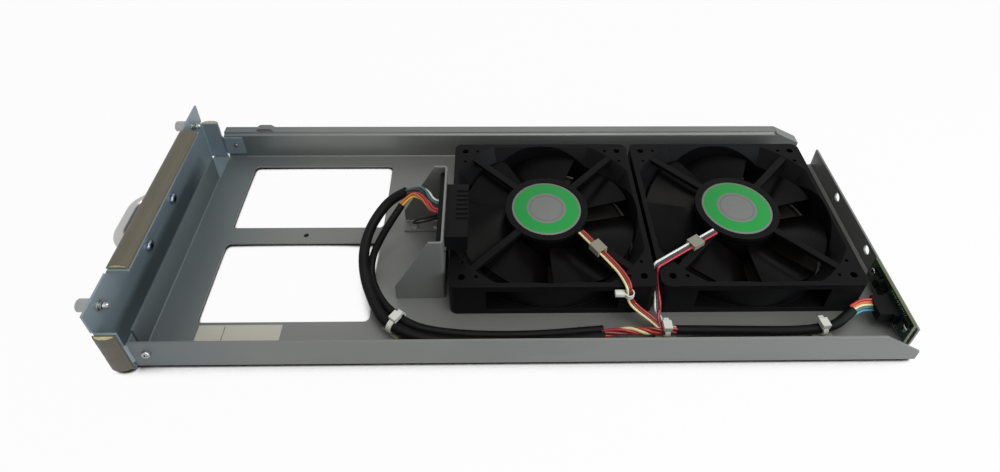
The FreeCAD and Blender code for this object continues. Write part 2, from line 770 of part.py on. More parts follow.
# Bow handle: a bent rod whose feet stand on the panel
x_bow = x_panel - S.handle_reach + S.handle_radius
x_elbow = x_bow + S.handle_bend
h_near, h_far = handle_spots[0][0], handle_spots[1][0]
z_bow = S.handle_rise
leg = S.handle_reach - S.handle_radius - S.handle_bend
rod = [
    cylinder(S.handle_radius, leg, (x_elbow, h_near, z_bow), "X"),
    cylinder(S.handle_radius, leg, (x_elbow, h_far, z_bow), "X"),
    cylinder(S.handle_radius, S.handle_spacing - 2 * S.handle_bend,
             (x_bow, h_near + S.handle_bend, z_bow), "Y"),
    elbow(S.handle_bend, S.handle_radius, (x_elbow, h_near + S.handle_bend, z_bow), 180),
    elbow(S.handle_bend, S.handle_radius, (x_elbow, h_far - S.handle_bend, z_bow), 90),
]
handle_bore = S.handle_screw_radius + S.running_clearance
bores = [cylinder(handle_bore, S.handle_screw_depth + S.screw_clearance,
                  (x_panel - S.handle_screw_depth - S.screw_clearance, y, z), "X") for y, z in handle_spots]
piece("front_handle", cut(fuse(*rod), gather(*bores)))
handle_screws = []
for y, z in handle_spots:
    handle_screws.append(fuse(
        cylinder(S.handle_screw_head_radius, S.handle_screw_head_height, (x_panel + S.sheet, y, z), "X"),
        cylinder(S.handle_screw_radius, S.handle_screw_depth + S.sheet,
                 (x_panel - S.handle_screw_depth, y, z), "X")))
piece("handle_screws", gather(*handle_screws))

# Captive thumbscrews: a flanged bush pressed into the panel, a knurled screw that floats in it and its ring
bushes = []
x_bush = x_panel - S.bush_flange
bush_bore = S.thumb_shank_radius + S.running_clearance
bush_length = S.bush_flange + S.sheet + S.bush_tail
for y, z in thumb_spots:
    bushes.append(cut(
        fuse(cylinder(S.bush_flange_radius, S.bush_flange, (x_bush, y, z), "X"),
             cylinder(S.bush_radius, bush_length, (x_bush, y, z), "X")),
        cylinder(bush_bore, bush_length, (x_bush, y, z), "X")))
piece("panel_bushes", gather(*bushes))
x_ring = x_bush + bush_length + S.ring_setback
for name, (y, z) in zip(("near", "far"), thumb_spots):
    screw = Piece(f"{name}_thumbscrew", (x_bush - S.thumb_standoff, y, z), Rotation(Vector(0, 1, 0), 90))
    ring_low = x_ring - x_bush + S.thumb_standoff
    ring_high = ring_low + S.ring_thickness + 2 * S.running_clearance
    tip = ring_high + S.thumb_thread_length
    screw.revolve(screw.sketch("XZ").loop([
        (0, -S.thumb_head_length), (S.thumb_head_radius - S.thumb_chamfer, -S.thumb_head_length),
        (S.thumb_head_radius, S.thumb_chamfer - S.thumb_head_length),
        (S.thumb_head_radius, -S.thumb_chamfer), (S.thumb_head_radius - S.thumb_chamfer, 0),
        (S.thumb_shank_radius, 0), (S.thumb_shank_radius, ring_low),
        (S.thumb_groove_radius, ring_low), (S.thumb_groove_radius, ring_high),
        (S.thumb_thread_radius, ring_high), (S.thumb_thread_radius, tip - S.thumb_chamfer),
        (S.thumb_thread_radius - S.thumb_chamfer, tip), (0, tip),
    ]))
    ring_at = (x_ring + S.running_clearance, y, z)
    piece(f"{name}_retaining_ring", cut(
        cylinder(S.ring_radius, S.ring_thickness, ring_at, "X"),
        cylinder(S.thumb_groove_radius + S.running_clearance, S.ring_thickness, ring_at, "X")))

# Axial fans, struts upwards. Each fan's own origin is on its axis at the pan's floor
base_top = S.fan_depth
base_low = base_top - S.motor_base_depth
tube_low = base_low - S.tube_length
bearing_low = tube_low + S.bearing_inset
bearing_high = bearing_low + S.bearing_spread
hub_top = S.hub_lift + S.hub_height
magnet_outside = S.hub_radius - S.hub_wall - S.bearing_seat_clearance
magnet_inside = magnet_outside - S.magnet_thickness
stack_outside = magnet_inside - S.air_gap
strut_top = base_top - S.strut_drop


def fan_frame(name, at):
    """Square frame with flanges, barrel, corner blocks, flared mouth, struts, motor base and bearing tube."""
    frame = Piece(f"{name}_fan_frame", at)
    for level in (0.0, S.fan_depth - S.fan_flange):
        square = frame.sketch("XY", level).rectangle(-fan_half, fan_half, -fan_half, fan_half)
        frame.pad(square, S.fan_flange)
        if level == 0.0:
            frame.pad(frame.sketch("XY", 0.0).circle(0, 0, fan_barrel), S.fan_depth)
    inner = fan_half - S.fan_block
    sides = [(-fan_half, -inner), (inner, fan_half)]
    blocks = frame.sketch("XY", 0.0)
    for x_low, x_high in sides:
        for y_low, y_high in sides:
            blocks.rectangle(x_low, x_high, y_low, y_high)
    frame.pad(blocks, S.fan_depth)
    frame.round(S.fan_corner, [
        (i * fan_half, j * fan_half, S.fan_depth / 2) for i in (-1, 1) for j in (-1, 1)])
    # Towards the corners the mouth widens into a cone, whose wall shows outside the barrel
    mouth, mouth_half = fan_bore + S.flare_reach, fan_bore - S.flare_lap
    narrowing = S.flare_reach + S.flare_lap
    shell = frame.sketch("XY", S.fan_depth).flared(mouth_half + S.fan_barrel_wall, mouth + S.fan_barrel_wall)
    frame.taper(frame.pad(shell, S.flare_depth, grow=-1), narrowing, S.flare_depth)
    frame.pocket(frame.sketch("XY", S.fan_depth).circle(0, 0, fan_bore), S.fan_depth)
    flare = frame.pocket(frame.sketch("XY", S.fan_depth).flared(mouth_half, mouth), S.flare_depth)
    frame.taper(flare, narrowing, S.flare_depth)
    reach = mouth + S.fan_barrel_wall / 2
    lead = S.strut_width / 2
    diagonal = math.sqrt(0.5)
    strut = frame.pad(frame.sketch("XY", strut_top).loop([
        (lead * diagonal, -lead * diagonal), ((reach + lead) * diagonal, (reach - lead) * diagonal),
        ((reach - lead) * diagonal, (reach + lead) * diagonal), (-lead * diagonal, lead * diagonal),
    ]), S.strut_depth, grow=-1)
    frame.polar(strut, STRUT_COUNT)
    frame.pad(frame.sketch("XY", base_low).circle(0, 0, S.motor_base_radius), S.motor_base_depth)
    frame.pocket(frame.sketch("XY", base_top).circle(0, 0, S.label_recess_radius), S.label_recess)
    frame.pad(frame.sketch("XY", tube_low).circle(0, 0, S.tube_radius), S.tube_length)
    bore = S.bearing_radius + S.bearing_seat_clearance
    frame.pocket(frame.sketch("XY", tube_low).circle(0, 0, bore), S.tube_length, grow=1)
    holes = frame.sketch("XY", S.fan_depth)
    for x, y in fan_hole_spots:
        holes.circle(x, y, S.fan_hole_radius)
    frame.pocket(holes, S.fan_depth)
    along, across = fan_hole_half - S.fan_dimple_along, fan_hole_half - S.fan_dimple_across
    dimples = frame.sketch("XY", S.fan_depth)
    for i in (-1, 1):
        for j in (-1, 1):
            dimples.circle(i * along, j * fan_hole_half, S.fan_dimple_radius)
            dimples.circle(i * fan_hole_half, j * across, S.fan_dimple_radius)
    frame.pocket(dimples, S.fan_dimple_depth)


def fan_impeller(name, at):
    """Cup-shaped hub with a shaft boss, and swept blades trimmed to one tip circle."""
    impeller = Piece(f"{name}_fan_impeller", at)
    inside = S.hub_radius - S.hub_wall
    floor_top = S.hub_lift + S.hub_wall
    bore = S.shaft_radius + S.bearing_seat_clearance
    impeller.revolve(impeller.sketch("XZ").loop([
        (bore, S.hub_lift), (S.hub_radius - S.hub_round, S.hub_lift),
        (S.hub_radius, S.hub_lift + S.hub_round), (S.hub_radius, hub_top),
        (inside, hub_top), (inside, floor_top), (S.boss_radius, floor_top),
        (S.boss_radius, floor_top + S.boss_height), (bore, floor_top + S.boss_height),
    ]))
    root = impeller.sketch("XZ", S.hub_radius - S.hub_wall / 2).blade(
        S.blade_root_span, S.blade_low, S.blade_high - S.blade_thickness, S.blade_thickness, S.blade_camber)
    tip = impeller.sketch("XZ", S.blade_tip_radius).blade(
        S.blade_tip_span, S.blade_low, S.blade_high - S.blade_thickness, S.blade_thickness, S.blade_camber)
    loft = impeller.body.newObject("PartDesign::AdditiveLoft", f"{name}_fan_blade")
    loft.Profile = root.sketch
    loft.Sections = [tip.sketch]
    loft.Ruled = True
    impeller.polar(loft, BLADE_COUNT)
    trim = impeller.sketch("XY", S.fan_depth)
    trim.circle(0, 0, S.blade_tip_radius).circle(0, 0, 2 * S.blade_tip_radius)
    impeller.pocket(trim, S.fan_depth)


def ring_piece(label, at, outside, inside, low, height):
    """A plain ring on a fan's axis."""
    ring = Piece(label, at)
    ring.pad(ring.sketch("XY", low).circle(0, 0, outside).circle(0, 0, inside), height)


def fan_stator(name, at):
    """Four-pole laminated core on the bearing tube, with a coil round each pole."""
    core = Piece(f"{name}_stator_core", at)
    bore = S.tube_radius + S.bearing_seat_clearance
    core.pad(core.sketch("XY", S.stack_lift).circle(0, 0, stack_outside).circle(0, 0, bore), S.stack_height)
    edge = S.pole_width * math.sqrt(0.5)
    mouth = S.slot_mouth / 2
    shoe = stack_outside - S.pole_shoe
    corner = shoe * S.shoe_taper
    slot_cut = core.pocket(core.sketch("XY", S.stack_lift + S.stack_height).loop([
        (S.stack_yoke, edge - S.stack_yoke), (corner, edge - corner),
        (shoe, -mouth), (2 * stack_outside, -mouth), (2 * stack_outside, mouth), (shoe, mouth),
        (corner, corner - edge), (S.stack_yoke, S.stack_yoke - edge),
    ]), S.stack_height)
    core.polar(slot_cut, POLE_COUNT)
    coils = []
    for pole in range(POLE_COUNT):
        spin = Rotation(Vector(0, 0, 1), (pole + 0.5) * 360 / POLE_COUNT)
        across = S.pole_width / 2 + S.coil_build
        low = S.stack_lift - S.coil_build
        outer = box(S.coil_length, 2 * across, S.stack_height + 2 * S.coil_build,
                    (S.coil_start, -across, low))
        hole = box(S.coil_length, S.pole_width, S.stack_height,
                   (S.coil_start, -S.pole_width / 2, S.stack_lift))
        coil = gather(cut(outer, hole))
        place(coil, at, spin)
        coils.append(coil)
    piece(f"{name}_stator_coils", gather(*coils))


def fan_bearings(name, at):
    """Two bearings in the tube."""
    x, y, z = at
    rings = []
    for low in (bearing_low, bearing_high):
        rings.append(cut(cylinder(S.bearing_radius, S.bearing_width, (x, y, z + low)),
                         cylinder(S.bearing_bore, S.bearing_width, (x, y, z + low))))
    piece(f"{name}_fan_bearings", gather(*rings))


for name, x in zip(("front", "rear"), fan_centres):
    at = (x, y_fan, z_floor)
    fan_frame(name, at)
    fan_impeller(name, at)
    shaft = Piece(f"{name}_fan_shaft", at)
    shaft.pad(shaft.sketch("XY", S.hub_lift).circle(0, 0, S.shaft_radius), S.shaft_top - S.hub_lift)
    ring_piece(f"{name}_rotor_magnet", at, magnet_outside, magnet_inside, S.magnet_lift, S.magnet_height)
    clip_low = bearing_high + S.bearing_width + S.clip_gap
    ring_piece(f"{name}_shaft_clip", at, S.clip_radius, S.shaft_radius + S.bearing_seat_clearance, clip_low,
               S.clip_thickness)
    fan_bearings(name, at)
    fan_stator(name, at)
    ring_piece(f"{name}_motor_board", at, S.board_radius, S.tube_radius + S.bearing_seat_clearance,
               base_low - S.board_thickness, S.board_thickness)

# Connector bracket: an upright plate with two gussets that turn in as feet
x_plate = x_fan - S.bracket_gap
b_near = y_mid + S.bracket_shift - S.bracket_width / 2
b_far = y_mid + S.bracket_shift + S.bracket_width / 2
y_bracket = y_mid + S.bracket_shift
z_plate = z_floor + S.bracket_height
z_connector = z_floor + S.connector_rise
x_toe = x_plate - S.gusset_length
bracket = Piece("connector_bracket")
bracket.pad(bracket.sketch("YZ", x_plate).rectangle(b_near, b_far, z_floor, z_plate), S.sheet, grow=-1)
gusset = [(x_plate, z_floor), (x_plate, z_plate), (x_plate - S.gusset_top, z_plate),
          (x_toe, z_floor + S.gusset_toe), (x_toe, z_floor)]
for y_inner in (b_near + S.sheet, b_far):
    bracket.pad(bracket.sketch("XZ", y_inner).loop(gusset), S.sheet, grow=-1)
x_foot = x_plate - S.sheet - S.bend_relief
foot_spans = [(b_near, b_near + S.bracket_foot), (b_far - S.bracket_foot, b_far)]
for low, high in foot_spans:
    bracket.pad(bracket.sketch("XY", z_floor).rectangle(x_toe, x_foot, low, high), S.sheet)
z_bend = z_floor + S.bracket_height / 2
bracket.round(S.bend_radius, [
    (x_plate - S.sheet, b_near + S.sheet, z_bend), (x_plate - S.sheet, b_far - S.sheet, z_bend),
    ((x_toe + x_foot) / 2, b_near + S.sheet, z_floor + S.sheet),
    ((x_toe + x_foot) / 2, b_far - S.sheet, z_floor + S.sheet),
])
bracket.round(bend_outside, [(x_plate, b_near, z_bend), (x_plate, b_far, z_bend)])
cutout = bracket.sketch("YZ", x_plate)
cutout.rectangle(y_bracket - S.cutout_length / 2, y_bracket + S.cutout_length / 2,
                 z_connector - S.cutout_height / 2, z_connector + S.cutout_height / 2)
for side in (-1, 1):
    cutout.circle(y_bracket + side * S.connector_screw_spacing / 2, z_connector,
                  S.connector_screw_radius + S.screw_clearance)
bracket.pocket(cutout, S.sheet)
rivet_spots = [(x, y) for x in (x_toe + S.rivet_toe, x_foot - S.rivet_heel)
               for y in (b_near + S.rivet_inset, b_far - S.rivet_inset)]
rivet_hole = S.bracket_rivet_radius + S.screw_clearance
foot_holes = bracket.sketch("XY", z_floor + S.sheet)
for x, y in rivet_spots:
    foot_holes.circle(x, y, rivet_hole)
bracket.pocket(foot_holes, S.sheet)
rivets = []
for x, y in rivet_spots:
    rivets.append(fuse(
        cylinder(S.bracket_rivet_radius, S.sheet, (x, y, z_floor)),
        cone(S.rivet_head_radius, S.bracket_rivet_radius, S.rivet_head_height, (x, y, z_floor + S.sheet))))
piece("bracket_rivets", gather(*rivets))

# Blind-mate connector: a flange on the bracket's front, a ribbed shell that reaches over the front fan
connector = Piece("connector_housing")
x_seat = x_plate - S.sheet
flange_half, body_half = S.connector_flange_length / 2, S.connector_body_length / 2
connector.pad(connector.sketch("YZ", x_seat).rectangle(
    y_bracket - flange_half, y_bracket + flange_half,
    z_connector - S.connector_flange_height / 2, z_connector + S.connector_flange_height / 2),
    S.connector_flange, grow=-1)
x_reach = x_plate + S.connector_reach
body_low, body_high = z_connector - S.connector_body_height / 2, z_connector + S.connector_body_height / 2
connector.pad(connector.sketch("YZ", x_seat).rectangle(
    y_bracket - body_half, y_bracket + body_half, body_low, body_high), S.connector_reach + S.sheet)
connector.pocket(connector.sketch("YZ", x_reach).rectangle(
    y_bracket - body_half + S.connector_shell, y_bracket + body_half - S.connector_shell,
    body_low + S.connector_shell, body_high - S.connector_shell), S.connector_cavity)
ribs = connector.sketch("XY", body_high)
for k in range(-3, 4):
    y_rib = y_bracket + S.rib_shift + k * S.rib_pitch
    ribs.rectangle(x_reach - S.rib_length, x_reach, y_rib - S.rib_width / 2, y_rib + S.rib_width / 2)
connector.pad(ribs, S.rib_depth)
screw_holes = connector.sketch("YZ", x_seat)
for side in (-1, 1):
    screw_holes.circle(y_bracket + side * S.connector_screw_spacing / 2, z_connector,
                       S.connector_screw_radius + S.screw_clearance)
connector.pocket(screw_holes, S.connector_flange)
x_pins = x_reach - S.connector_cavity
contacts = []
for k in range(-2, 4):
    contacts.append(cylinder(S.contact_radius, S.contact_length,
                             (x_pins, y_bracket + (k - 0.5) * S.contact_pitch, z_connector), "X"))
piece("connector_contacts", gather(*contacts))
connector_screws = []
x_head = x_seat - S.connector_flange
for side in (-1, 1):
    y_screw = y_bracket + side * S.connector_screw_spacing / 2
    connector_screws.append(fuse(
        cylinder(2 * S.connector_screw_radius, S.sheet, (x_head - S.sheet, y_screw, z_connector), "X"),
        cylinder(S.connector_screw_radius, S.connector_flange + 2 * S.sheet,
                 (x_head, y_screw, z_connector), "X")))
piece("connector_screws", gather(*connector_screws))

# Rear board: stands on two posts inside the rear flange, with a header for the harness plug
x_tail_face = x_rear - S.sheet
x_board = x_tail_face - S.standoff_length - S.pcb_thickness
board_near = y_near + S.pcb_near
board_far = board_near + S.pcb_length
z_board = z_floor + S.pcb_rise
board = Piece("control_board")
board.pad(board.sketch("YZ", x_board).rectangle(
    board_near, board_far, z_board, z_board + S.pcb_height), S.pcb_thickness)
board_holes = [(board_near + S.pcb_hole_inset, z_board + S.pcb_height / 2),
               (board_far - S.pcb_hole_inset, z_board + S.pcb_height / 2)]
board_cut = board.sketch("YZ", x_board + S.pcb_thickness)
for y, z in board_holes:
    board_cut.circle(y, z, S.pcb_hole_radius + S.screw_clearance)
board.pocket(board_cut, S.pcb_thickness)
posts = []
board_screws = []
for y, z in board_holes:
    posts.append(cut(cylinder(S.standoff_radius, S.standoff_length, (x_board + S.pcb_thickness, y, z), "X"),
                     cylinder(S.pcb_hole_radius + S.running_clearance, S.standoff_length,
                              (x_board + S.pcb_thickness, y, z), "X")))
    board_screws.append(fuse(
        cylinder(S.pcb_screw_head_radius, S.pcb_screw_head_height,
                 (x_board - S.pcb_screw_head_height, y, z), "X"),
        cylinder(S.pcb_hole_radius, S.pcb_thickness + S.standoff_length, (x_board, y, z), "X")))
piece("board_posts", gather(*posts))
piece("board_screws", gather(*board_screws))
header_near = board_near + S.header_start
z_header = z_board + S.header_rise
header = Piece("board_header")
x_header = x_board - S.header_depth
header.pad(header.sketch("YZ", x_header).rectangle(
    header_near, header_near + S.header_length, z_header, z_header + S.header_height), S.header_depth)
plug = Piece("harness_plug")
x_plug = x_header - S.plug_reach
plug.pad(plug.sketch("YZ", x_plug).rectangle(
    header_near + S.plug_margin, header_near + S.header_length - S.plug_margin,
    z_header + S.plug_margin, z_header + S.header_height), S.plug_reach)
# Each chip's start along the board, rise above its lower edge, width, height and depth
CHIPS = [
    (27.0, 3.5, 6.0, 8.0, 1.6), (35.0, 2.0, 3.5, 3.6, 1.2), (34.6, 11.6, 7.0, 2.6, 1.4),
    (1.6, 12.2, 5.4, 2.8, 1.8), (26.6, 13.0, 5.6, 2.0, 1.0),
]
piece("board_chips", gather(*[
    box(depth, width, height, (x_board - depth, board_near + start, z_board + rise))
    for start, rise, width, height, depth in CHIPS
]))

# Harness. Route points are measured from the front fan's near front top corner
datum = Vector(number(x_fan), number(y_fan - fan_half), number(z_floor + S.fan_depth))


def route(points):
    return [datum + Vector(*point) for point in points]


def rounded_path(label, points):
    """Straight runs joined by tangent arcs, each as large as its two runs allow."""
    edges = []
    radii = []
    start = points[0]
    for before, corner, after in zip(points, points[1:], points[2:]):
        arrive, leave = corner - before, after - corner
        turn = arrive.getAngle(leave)
        setback = 0.45 * min(arrive.Length, leave.Length)
        radius = setback / math.tan(turn / 2)
        radii.append(round(radius, 1))
        arrive_dir, leave_dir = Vector(arrive).normalize(), Vector(leave).normalize()
        first, last = corner - arrive_dir * setback, corner + leave_dir * setback
        bisector = (leave_dir - arrive_dir).normalize()
        middle = corner + bisector * (radius / math.cos(turn / 2) - radius)
        edges.append(Part.LineSegment(start, first).toShape())
        edges.append(Part.Arc(first, middle, last).toShape())
        start = last
    edges.append(Part.LineSegment(start, points[-1]).toShape())
    print(label, "bend radii", radii)
    return Part.Wire(edges)


def tube(label, points, radius):
    """A round tube along a route, checked against its section times its length."""
    path = rounded_path(label, points)
    section = Part.Wire(Part.makeCircle(number(radius), points[0], points[1] - points[0]))
    solid = path.makePipeShell([section], True, False)
    expected = math.pi * number(radius) ** 2 * path.Length
    if abs(solid.Volume / expected - 1) > 0.01:
        raise RuntimeError(f"{label}: tube volume {solid.Volume:.0f} against {expected:.0f}")
    return solid


def shaped(label, *shapes):
    item = doc.addObject("Part::Feature", label)
    item.Shape = shapes[0] if len(shapes) == 1 else Part.makeCompound(list(shapes))
    return piece(label, item)


OUTER_ROUTE = [
    (-29.0, 66.4, 7.6), (-38.4, 66.3, 2.6), (-48.2, 57.2, -3.2), (-54.3, 44.6, -7.4),
    (-56.0, 31.6, -11.0), (-53.0, 17.6, -14.6), (-46.0, 4.4, -17.6), (-38.3, -6.4, -18.8),
    (-24.7, -16.6, -18.8), (-8.0, -20.6, -20.0), (14.0, -21.6, -21.3), (37.0, -21.8, -21.6),
    (62.0, -21.0, -21.4), (88.0, -19.0, -20.6),
]
INNER_ROUTE = [
    (-30.5, 54.6, 8.6), (-38.4, 45.4, 2.8), (-45.0, 36.2, -3.0), (-48.8, 26.4, -9.0),
    (-46.4, 16.4, -13.6), (-40.6, 6.7, -17.0), (-34.6, -1.5, -18.8), (-21.0, -11.7, -18.8),
    (-6.6, -14.6, -20.6), (15.0, -15.8, -22.2), (37.0, -16.0, -22.6), (62.0, -15.2, -22.4),
    (88.0, -13.2, -21.8),
]
BARE_ROUTE = [
    (89.0, -17.0, -20.4), (98.0, -15.8, -19.2), (109.0, -16.2, -19.2), (117.0, -15.9, -18.8),
    (128.0, -15.9, -18.8),
]
REAR_ROUTE = [
    (128.6, -15.9, -18.8), (142.0, -15.4, -19.9), (160.0, -15.0, -21.0), (180.0, -15.4, -21.0),
    (196.0, -16.4, -19.6), (205.0, -16.2, -18.8), (219.0, -14.2, -18.8), (226.0, -10.4, -16.8),
    (232.0, -6.4, -14.4),
]
PLUG_ROUTE = [(232.6, -6.0, -14.2), (236.4, -4.3, -13.6), (240.4, -3.8, -13.5), (243.0, -3.9, -13.5)]
FRONT_LEAD_ROUTE = [
    (79.0, 38.4, 1.7), (96.2, 13.3, 1.7), (100.0, 5.0, 1.9), (101.8, -2.2, 2.2), (102.4, -2.6, -6.0),
    (105.0, -3.4, -12.0), (110.6, -6.6, -15.4), (116.6, -11.4, -16.0),
]
REAR_LEAD_ROUTE = [
    (161.0, 38.8, 1.1), (132.6, 21.4, 1.1), (124.0, 16.0, 1.3), (120.2, 13.6, 1.7), (120.2, 12.6, -1.4),
    (120.2, 9.0, -7.0), (120.2, 0.0, -12.4), (119.4, -5.6, -14.4), (120.0, -10.6, -15.8),
]
OUTER_TAIL = [
    (-6.9, 53.0, 12.4), (-10.9, 53.0, 12.4), (-15.6, 61.6, 13.2), (-22.0, 66.5, 11.3), (-28.7, 66.4, 7.76),
]
INNER_TAIL = [
    (-6.9, 46.0, 12.4), (-10.9, 46.0, 12.4), (-14.6, 52.4, 13.4), (-19.6, 57.6, 13.8), (-25.9, 59.96, 11.98),
    (-30.3, 54.83, 8.75),
]

shaped("outer_loop_cable", tube("outer_loop_cable", route(OUTER_ROUTE), S.outer_cable_radius))
shaped("inner_loop_cable", tube("inner_loop_cable", route(INNER_ROUTE), S.inner_cable_radius))
shaped("bare_wires", tube("bare_wires", route(BARE_ROUTE), S.bare_bundle_radius))
shaped("rear_cable", tube("rear_cable", route(REAR_ROUTE), S.rear_cable_radius))
shaped("plug_wires", tube("plug_wires", route(PLUG_ROUTE), S.plug_bundle_radius))
shaped("front_fan_lead", tube("front_fan_lead", route(FRONT_LEAD_ROUTE), S.front_lead_radius))
shaped("rear_fan_lead", tube("rear_fan_lead", route(REAR_LEAD_ROUTE), S.rear_lead_radius))
shaped("connector_wires",
       tube("outer tail", route(OUTER_TAIL), S.outer_tail_radius),
       tube("inner tail", route(INNER_TAIL), S.inner_tail_radius))


def stadium(centre, across, half_span, radius):
    """A closed loop of two half circles and two straight runs, across the cable."""
    up = Vector(0, 0, 1)
    left, right = centre - across * half_span, centre + across * half_span
    edges = [
        Part.LineSegment(left + up * radius, right + up * radius).toShape(),
        Part.Arc(right + up * radius, right + across * radius, right - up * radius).toShape(),
        Part.LineSegment(right - up * radius, left - up * radius).toShape(),
        Part.Arc(left - up * radius, left - across * radius, left + up * radius).toShape(),
    ]
    return Part.Wire(edges)


def turned_box(centre, along, length, width, low, high):
    """A box over a point, with its length along a level heading and its ends low and high above the point."""
    size = Vector(number(length), number(width), high - low)
    item = Part.makeBox(size.x, size.y, size.z, Vector(-size.x / 2, -size.y / 2, low))
    item.Placement = Placement(centre, Rotation(Vector(0, 0, 1), math.degrees(math.atan2(along.y, along.x))))
    return item


def tie(centre, along, half_span, radius):
    """A cable tie round one cable, or round two side by side, with its head on top and a trimmed end."""
    up = Vector(0, 0, 1)
    across = up.cross(along).normalize()
    inner = number(radius + S.tie_clearance)
    outer = inner + number(S.tie_band)
    start = centre - along * (number(S.tie_width) / 2)
    reach = along * number(S.tie_width)
    band = Part.Face(stadium(start, across, half_span, outer)).extrude(reach)
    head_top = inner + number(S.tie_head_height)
    head = turned_box(centre, along, S.tie_head_length, S.tie_head_width, inner, head_top)
    stub_spot = centre + across * (number(S.tie_head_width + S.tie_stub) / 2)
    stub = turned_box(stub_spot, along, S.tie_width, S.tie_stub, outer, outer + number(S.tie_band))
    whole = band.fuse([head, stub]).removeSplitter()
    return whole.cut(Part.Face(stadium(start, across, half_span, inner)).extrude(reach))


# Middle of each band, the cable's heading there, half the span between two cables and the larger radius
TIES = [
    ((-29.9, -9.4, -18.8), (0.8, -0.6, 0.0), 2.7, S.outer_cable_radius),
    ((123.0, -15.9, -18.8), (1.0, 0.0, 0.0), 0.05, S.bare_bundle_radius),
    ((212.0, -15.2, -18.8), (14.0, 2.0, 0.0), 0.05, S.rear_cable_radius),
]
bands = []
bases = []
for spot, heading, half_span, radius in TIES:
    centre = datum + Vector(*spot)
    along = Vector(*heading).normalize()
    bands.append(tie(centre, along, half_span, radius))
    band_low = -number(radius + S.tie_clearance + S.tie_band)
    bases.append(turned_box(centre, along, S.tie_base, S.tie_base, number(z_floor) - centre.z, band_low))
shaped("cable_ties", *bands)
shaped("tie_mounts", *bases)


def lead_clip(fan, side, reach, aside, lead, radius):
    """A small plate that holds a lead down on its strut, reach along the strut and aside from its middle."""
    lead_rise = lead[0][2]
    diagonal = Vector(side, -1, 0).normalize()
    spot = Vector(number(fan), number(y_fan), datum.z + lead_rise)
    centre = spot + diagonal * number(reach) + Vector(0, 0, 1).cross(diagonal) * (side * number(aside))
    along = (Vector(*lead[1]) - Vector(*lead[0])).normalize()
    inside = number(radius + S.tie_clearance)
    low = -lead_rise - number(S.strut_drop)
    plate = turned_box(centre, along, S.clip_length, S.clip_width, low, inside + number(S.clip_wall))
    return plate.cut(turned_box(centre, along, S.clip_length, 2 * inside, low, inside))


shaped("lead_clips",
       lead_clip(fan_centres[0], 1, S.front_clip_reach, S.front_clip_aside, FRONT_LEAD_ROUTE,
                 S.front_lead_radius),
       lead_clip(fan_centres[1], -1, S.rear_clip_reach, S.rear_clip_aside, REAR_LEAD_ROUTE,
                 S.rear_lead_radius))

doc.recompute()
faults = [f"{item.Label}: {item.State}" for item in doc.Objects if {"Invalid", "Error"} & set(item.State)]
faults += [f"{item.Label}: bad shape" for item in PIECES if item.Shape.isNull() or not item.Shape.isValid()]
if faults:
    raise RuntimeError("; ".join(faults))
os.makedirs("parts", exist_ok=True)
for item in PIECES:
    item.Shape.exportStep(f"parts/{item.Label}.step")
print(len(PIECES), "sub-parts")
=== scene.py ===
"""Looks of a slide-in fan tray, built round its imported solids.

Lengths are millimetres unless named otherwise.
"""

import json
import logging
import math
from dataclasses import dataclass
from enum import Enum
from typing import Any, Optional, Sequence, Union

import bmesh
import bpy
from mathutils import Matrix, Vector


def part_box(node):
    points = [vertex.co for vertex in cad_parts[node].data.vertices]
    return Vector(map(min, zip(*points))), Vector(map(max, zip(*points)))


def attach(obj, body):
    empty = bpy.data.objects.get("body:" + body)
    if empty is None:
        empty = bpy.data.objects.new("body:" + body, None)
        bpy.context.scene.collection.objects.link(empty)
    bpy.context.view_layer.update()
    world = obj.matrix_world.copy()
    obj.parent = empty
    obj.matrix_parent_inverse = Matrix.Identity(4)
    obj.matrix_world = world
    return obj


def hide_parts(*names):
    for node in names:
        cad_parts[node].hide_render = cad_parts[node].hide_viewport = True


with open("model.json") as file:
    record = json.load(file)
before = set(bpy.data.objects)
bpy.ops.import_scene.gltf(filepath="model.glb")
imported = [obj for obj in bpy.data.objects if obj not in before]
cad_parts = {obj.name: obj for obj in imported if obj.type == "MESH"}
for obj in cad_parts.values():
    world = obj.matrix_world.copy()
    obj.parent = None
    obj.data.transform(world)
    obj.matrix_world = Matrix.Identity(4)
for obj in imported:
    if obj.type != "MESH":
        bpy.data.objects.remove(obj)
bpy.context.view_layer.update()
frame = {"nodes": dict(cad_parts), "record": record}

LOG = logging.getLogger("fan_tray")
MM = 0.001
MERGE = 1e-4
PHOTO_WIDTH = 1000
PHOTO_HEIGHT = 472
ALONG_X = Vector((1.0, 0.0, 0.0))
ALONG_Y = Vector((0.0, 1.0, 0.0))
ALONG_Z = Vector((0.0, 0.0, 1.0))

Colour = tuple[float, float, float]
Point = tuple[float, float, float]
Span = tuple[float, float]
Operand = Union["Value", float]
Tone = Union["Value", Colour]
Sockets = dict[Union[str, int], Any]


def even(number: float) -> Point:
    """The same number along all three axes."""
    return (number, number, number)


def solid_box(node: str) -> tuple[Vector, Vector]:
    """Lowest and highest corner of a solid's box."""
    low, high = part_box(node)
    return low / MM, high / MM


FAN_LOW, FAN_HIGH = solid_box("front_fan_frame")
# Harness points are measured from the front fan's near front top corner
DATUM = Vector((FAN_LOW.x, FAN_LOW.y, FAN_HIGH.z))


